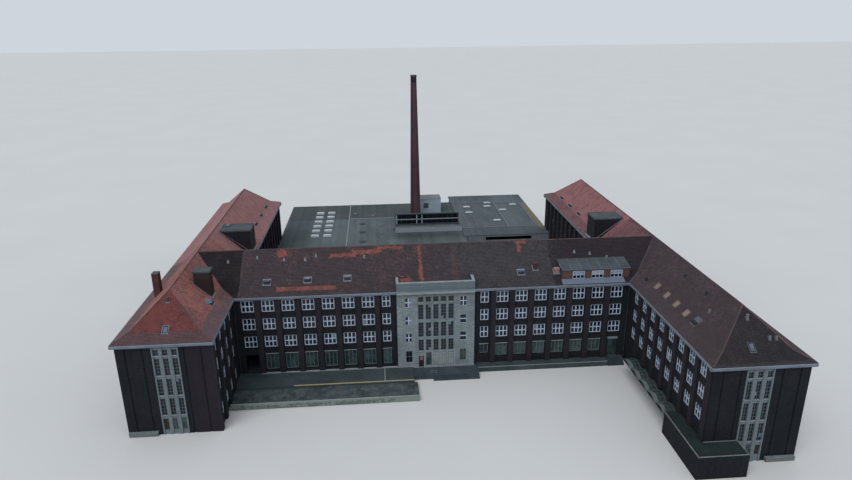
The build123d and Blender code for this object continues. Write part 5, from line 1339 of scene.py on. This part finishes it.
addBox(terraceCoping, x1, x2 - c, y1 - 0.014, y1 - proud, z + 0.005, z + 0.014)
spots = [(x0 + barIn, y0 + 0.03 + i * pitch) for i in range(int((y2 - y0) / pitch))]
spots += [(x0 + 0.02 + i * pitch, y0 + barIn) for i in range(int((x2 - x0) / pitch))]
for x, y in spots:
    addTube(balusters, at(x, y, z + 0.002), at(x, y, z + railH), barR, 4)
canopyLook = {"foot": 0.360, "rise": 0.060, "bays": 5, "facets": 8,
              "ribs": (x0 + 0.004, x0 + 0.13, x1 - 0.045), "across": (x0 + 0.001, x1 - 0.041),
              "acrossAt": (2, 4, 6), "ribR": 0.0035, "acrossR": 0.003}
foot, rise, bays, facets, ribXs, (xa, xb) = pick(canopyLook, "foot rise bays facets ribs across")
for i in range(bays):
    yFoot = y2 + i * bay
    arc = [(yFoot + bay * k / facets, foot + rise * math.sin(math.pi * k / facets))
           for k in range(facets + 1)]
    for (ya, za), (yb, zb) in zip(arc, arc[1:]):
        for x in ribXs:
            addTube(ribs, at(x, ya, za + 0.001), at(x, yb, zb + 0.001), canopyLook["ribR"], 6)
    for k in canopyLook["acrossAt"]:
        addTube(ribs, at(xa, *arc[k]), at(xb, *arc[k]), canopyLook["acrossR"], 6)
    addBox(ribs, xa, xb, yFoot - 0.004, yFoot + 0.004, foot - 0.004, foot + 0.008)
makePieces(("terraceFloor", terraceFloor, floorSlab), ("terraceCoping", terraceCoping, copingStone),
           ("terraceBalusters", balusters, railPaint), ("canopyRibs", ribs, canopyRib))
print("docks and terrace done")

# Doors: panels, glass and a handle on each leaf; each rides on its own leaf
entrance = {"y": 0.012, "z": (0.136, 0.514), "split": 0.26, "top": greenGlass, "low": greenDoorPaint}
wingDoor = {"split": 0.22, "top": brownDoorPaint, "low": brownDoorPaint}
doorLooks = {
    "stone_front_leaf": {"x": (-0.344, -0.268), "y": -0.038, "z": (0.102, 0.343), "split": 0.245,
                         "top": pinkPaint, "low": darkDoorPaint, "handle": -0.274},
    "entrance_leaf_left": entrance | {"x": (3.684, 3.762), "handle": 3.757},
    "entrance_leaf_right": entrance | {"x": (3.786, 3.864), "handle": 3.791},
    "left_wing_leaf": wingDoor | {"x": (-5.026, -4.962), "y": -1.807, "z": (0.096, 0.310), "handle": -4.966},
    "right_wing_leaf": wingDoor | {"x": (4.962, 5.026), "y": -3.462, "z": (0.136, 0.302), "handle": 4.966},
}
leafLook = {"edge": 0.007, "boards": 4, "gap": 0.0006, "rimOut": 0.0022, "topOut": 0.0010,
            "boardOut": 0.0014, "handleR": 0.0014, "handleZ": (0.006, 0.026), "handleOut": 0.004}
edge, count, gap = pick(leafLook, "edge boards gap")
for body, look in doorLooks.items():
    face, (rim, upper, lower) = frontWall(look["y"]), newShapes(3)
    (u0, u1), (v0, v1), split = pick(look, "x z split")
    for spot in (*rimOf(u0, u1, v0, v1, edge), (u0 + edge, u1 - edge, split - edge / 2, split + edge / 2)):
        addBlock(rim, face, *spot, skin, leafLook["rimOut"])
    addBlock(upper, face, u0 + edge, u1 - edge, split + edge / 2, v1 - edge, skin, leafLook["topOut"])
    wide = (u1 - u0 - 2 * edge) / count
    for i in range(count):
        a = u0 + edge + i * wide
        addBlock(lower, face, a + gap, a + wide - gap, v0 + edge, split - edge / 2, skin,
                 leafLook["boardOut"])
    ends = [onWall(face, look["handle"], split + v, leafLook["handleOut"]) for v in leafLook["handleZ"]]
    addTube(rim, *ends, leafLook["handleR"])
    name, rimPaint = body.replace("_", ""), greenDoorPaint if "entrance" in body else darkDoorPaint
    for part, shape, paint in (("Rim", rim, rimPaint), ("Upper", upper, look["top"]),
                               ("Boards", lower, look["low"])):
        makePiece(name + part, shape, paint, body=body)
print("doors dressed")

# Camera at the photograph's view
cameraLook = {"place": (-1.091, -12.060, 7.040), "yaw": 0.07496, "pitch": 0.33068, "roll": -0.01025,
              "pixels": 649.27, "frameWidth": 852, "sensor": 36}
scene = bpy.context.scene
cameraData = bpy.data.cameras.new("photoCamera")
cameraData.sensor_width = cameraLook["sensor"]
cameraData.lens = cameraLook["sensor"] * cameraLook["pixels"] / cameraLook["frameWidth"]
cameraData.clip_end = 500
camera = bpy.data.objects.new("photoCamera", cameraData)
scene.collection.objects.link(camera)
yaw, pitch, roll = pick(cameraLook, "yaw pitch roll")
ahead = Vector((math.sin(yaw) * math.cos(pitch), math.cos(yaw) * math.cos(pitch), -math.sin(pitch)))
right = Vector((math.cos(yaw), -math.sin(yaw), 0))
over = right.cross(ahead)
axes = (right * math.cos(roll) + over * math.sin(roll), over * math.cos(roll) - right * math.sin(roll),
        -ahead)
camera.matrix_world = Matrix.Translation(at(*cameraLook["place"])) @ Matrix(axes).transposed().to_4x4()
scene.camera = camera

# Plain pale floor and soft light
stageLook = {"floor": 0.60, "size": 300, "drop": 0.001, "worldColor": (0.86, 0.93, 1.0, 1),
             "worldStrength": 0.72, "sun": 1.25, "sunAngle": 40, "sunFrom": (-0.35, -0.55, 0.85)}
scene.view_settings.view_transform = "Standard"
half = stageLook["size"] / 2
floorMesh = bpy.data.meshes.new("studioFloor")
floorMesh.from_pydata([(x, y, -stageLook["drop"]) for x, y in ((-half, -half), (half, -half), (half, half),
                                                              (-half, half))], [], [(0, 1, 2, 3)])
floorMaterial, tree, shader = newMaterial("studioFloorPaint")
tone = spread(tree, noiseAt(tree, objectPlace(tree), 0.3, 2.0, 0.5), 0.3, 0.7, stageLook["floor"] - 0.01,
              stageLook["floor"] + 0.01)
feed(tree, shader, {"Base Color": joined(tree, tone, tone, tone), "Roughness": 0.9})
floorMesh.materials.append(floorMaterial)
studioFloor = bpy.data.objects.new("studioFloor", floorMesh)
scene.collection.objects.link(studioFloor)

sky = bpy.data.worlds.new("softSky")
sky.use_nodes = True
background = sky.node_tree.nodes["Background"]
background.inputs[0].default_value = stageLook["worldColor"]
background.inputs[1].default_value = stageLook["worldStrength"]
scene.world = sky
sunData = bpy.data.lights.new("softSun", "SUN")
sunData.energy = stageLook["sun"]
sunData.angle = math.radians(stageLook["sunAngle"])
sun = bpy.data.objects.new("softSun", sunData)
sun.rotation_euler = Vector(stageLook["sunFrom"]).to_track_quat("Z", "Y").to_euler()
scene.collection.objects.link(sun)
print("camera and light set")
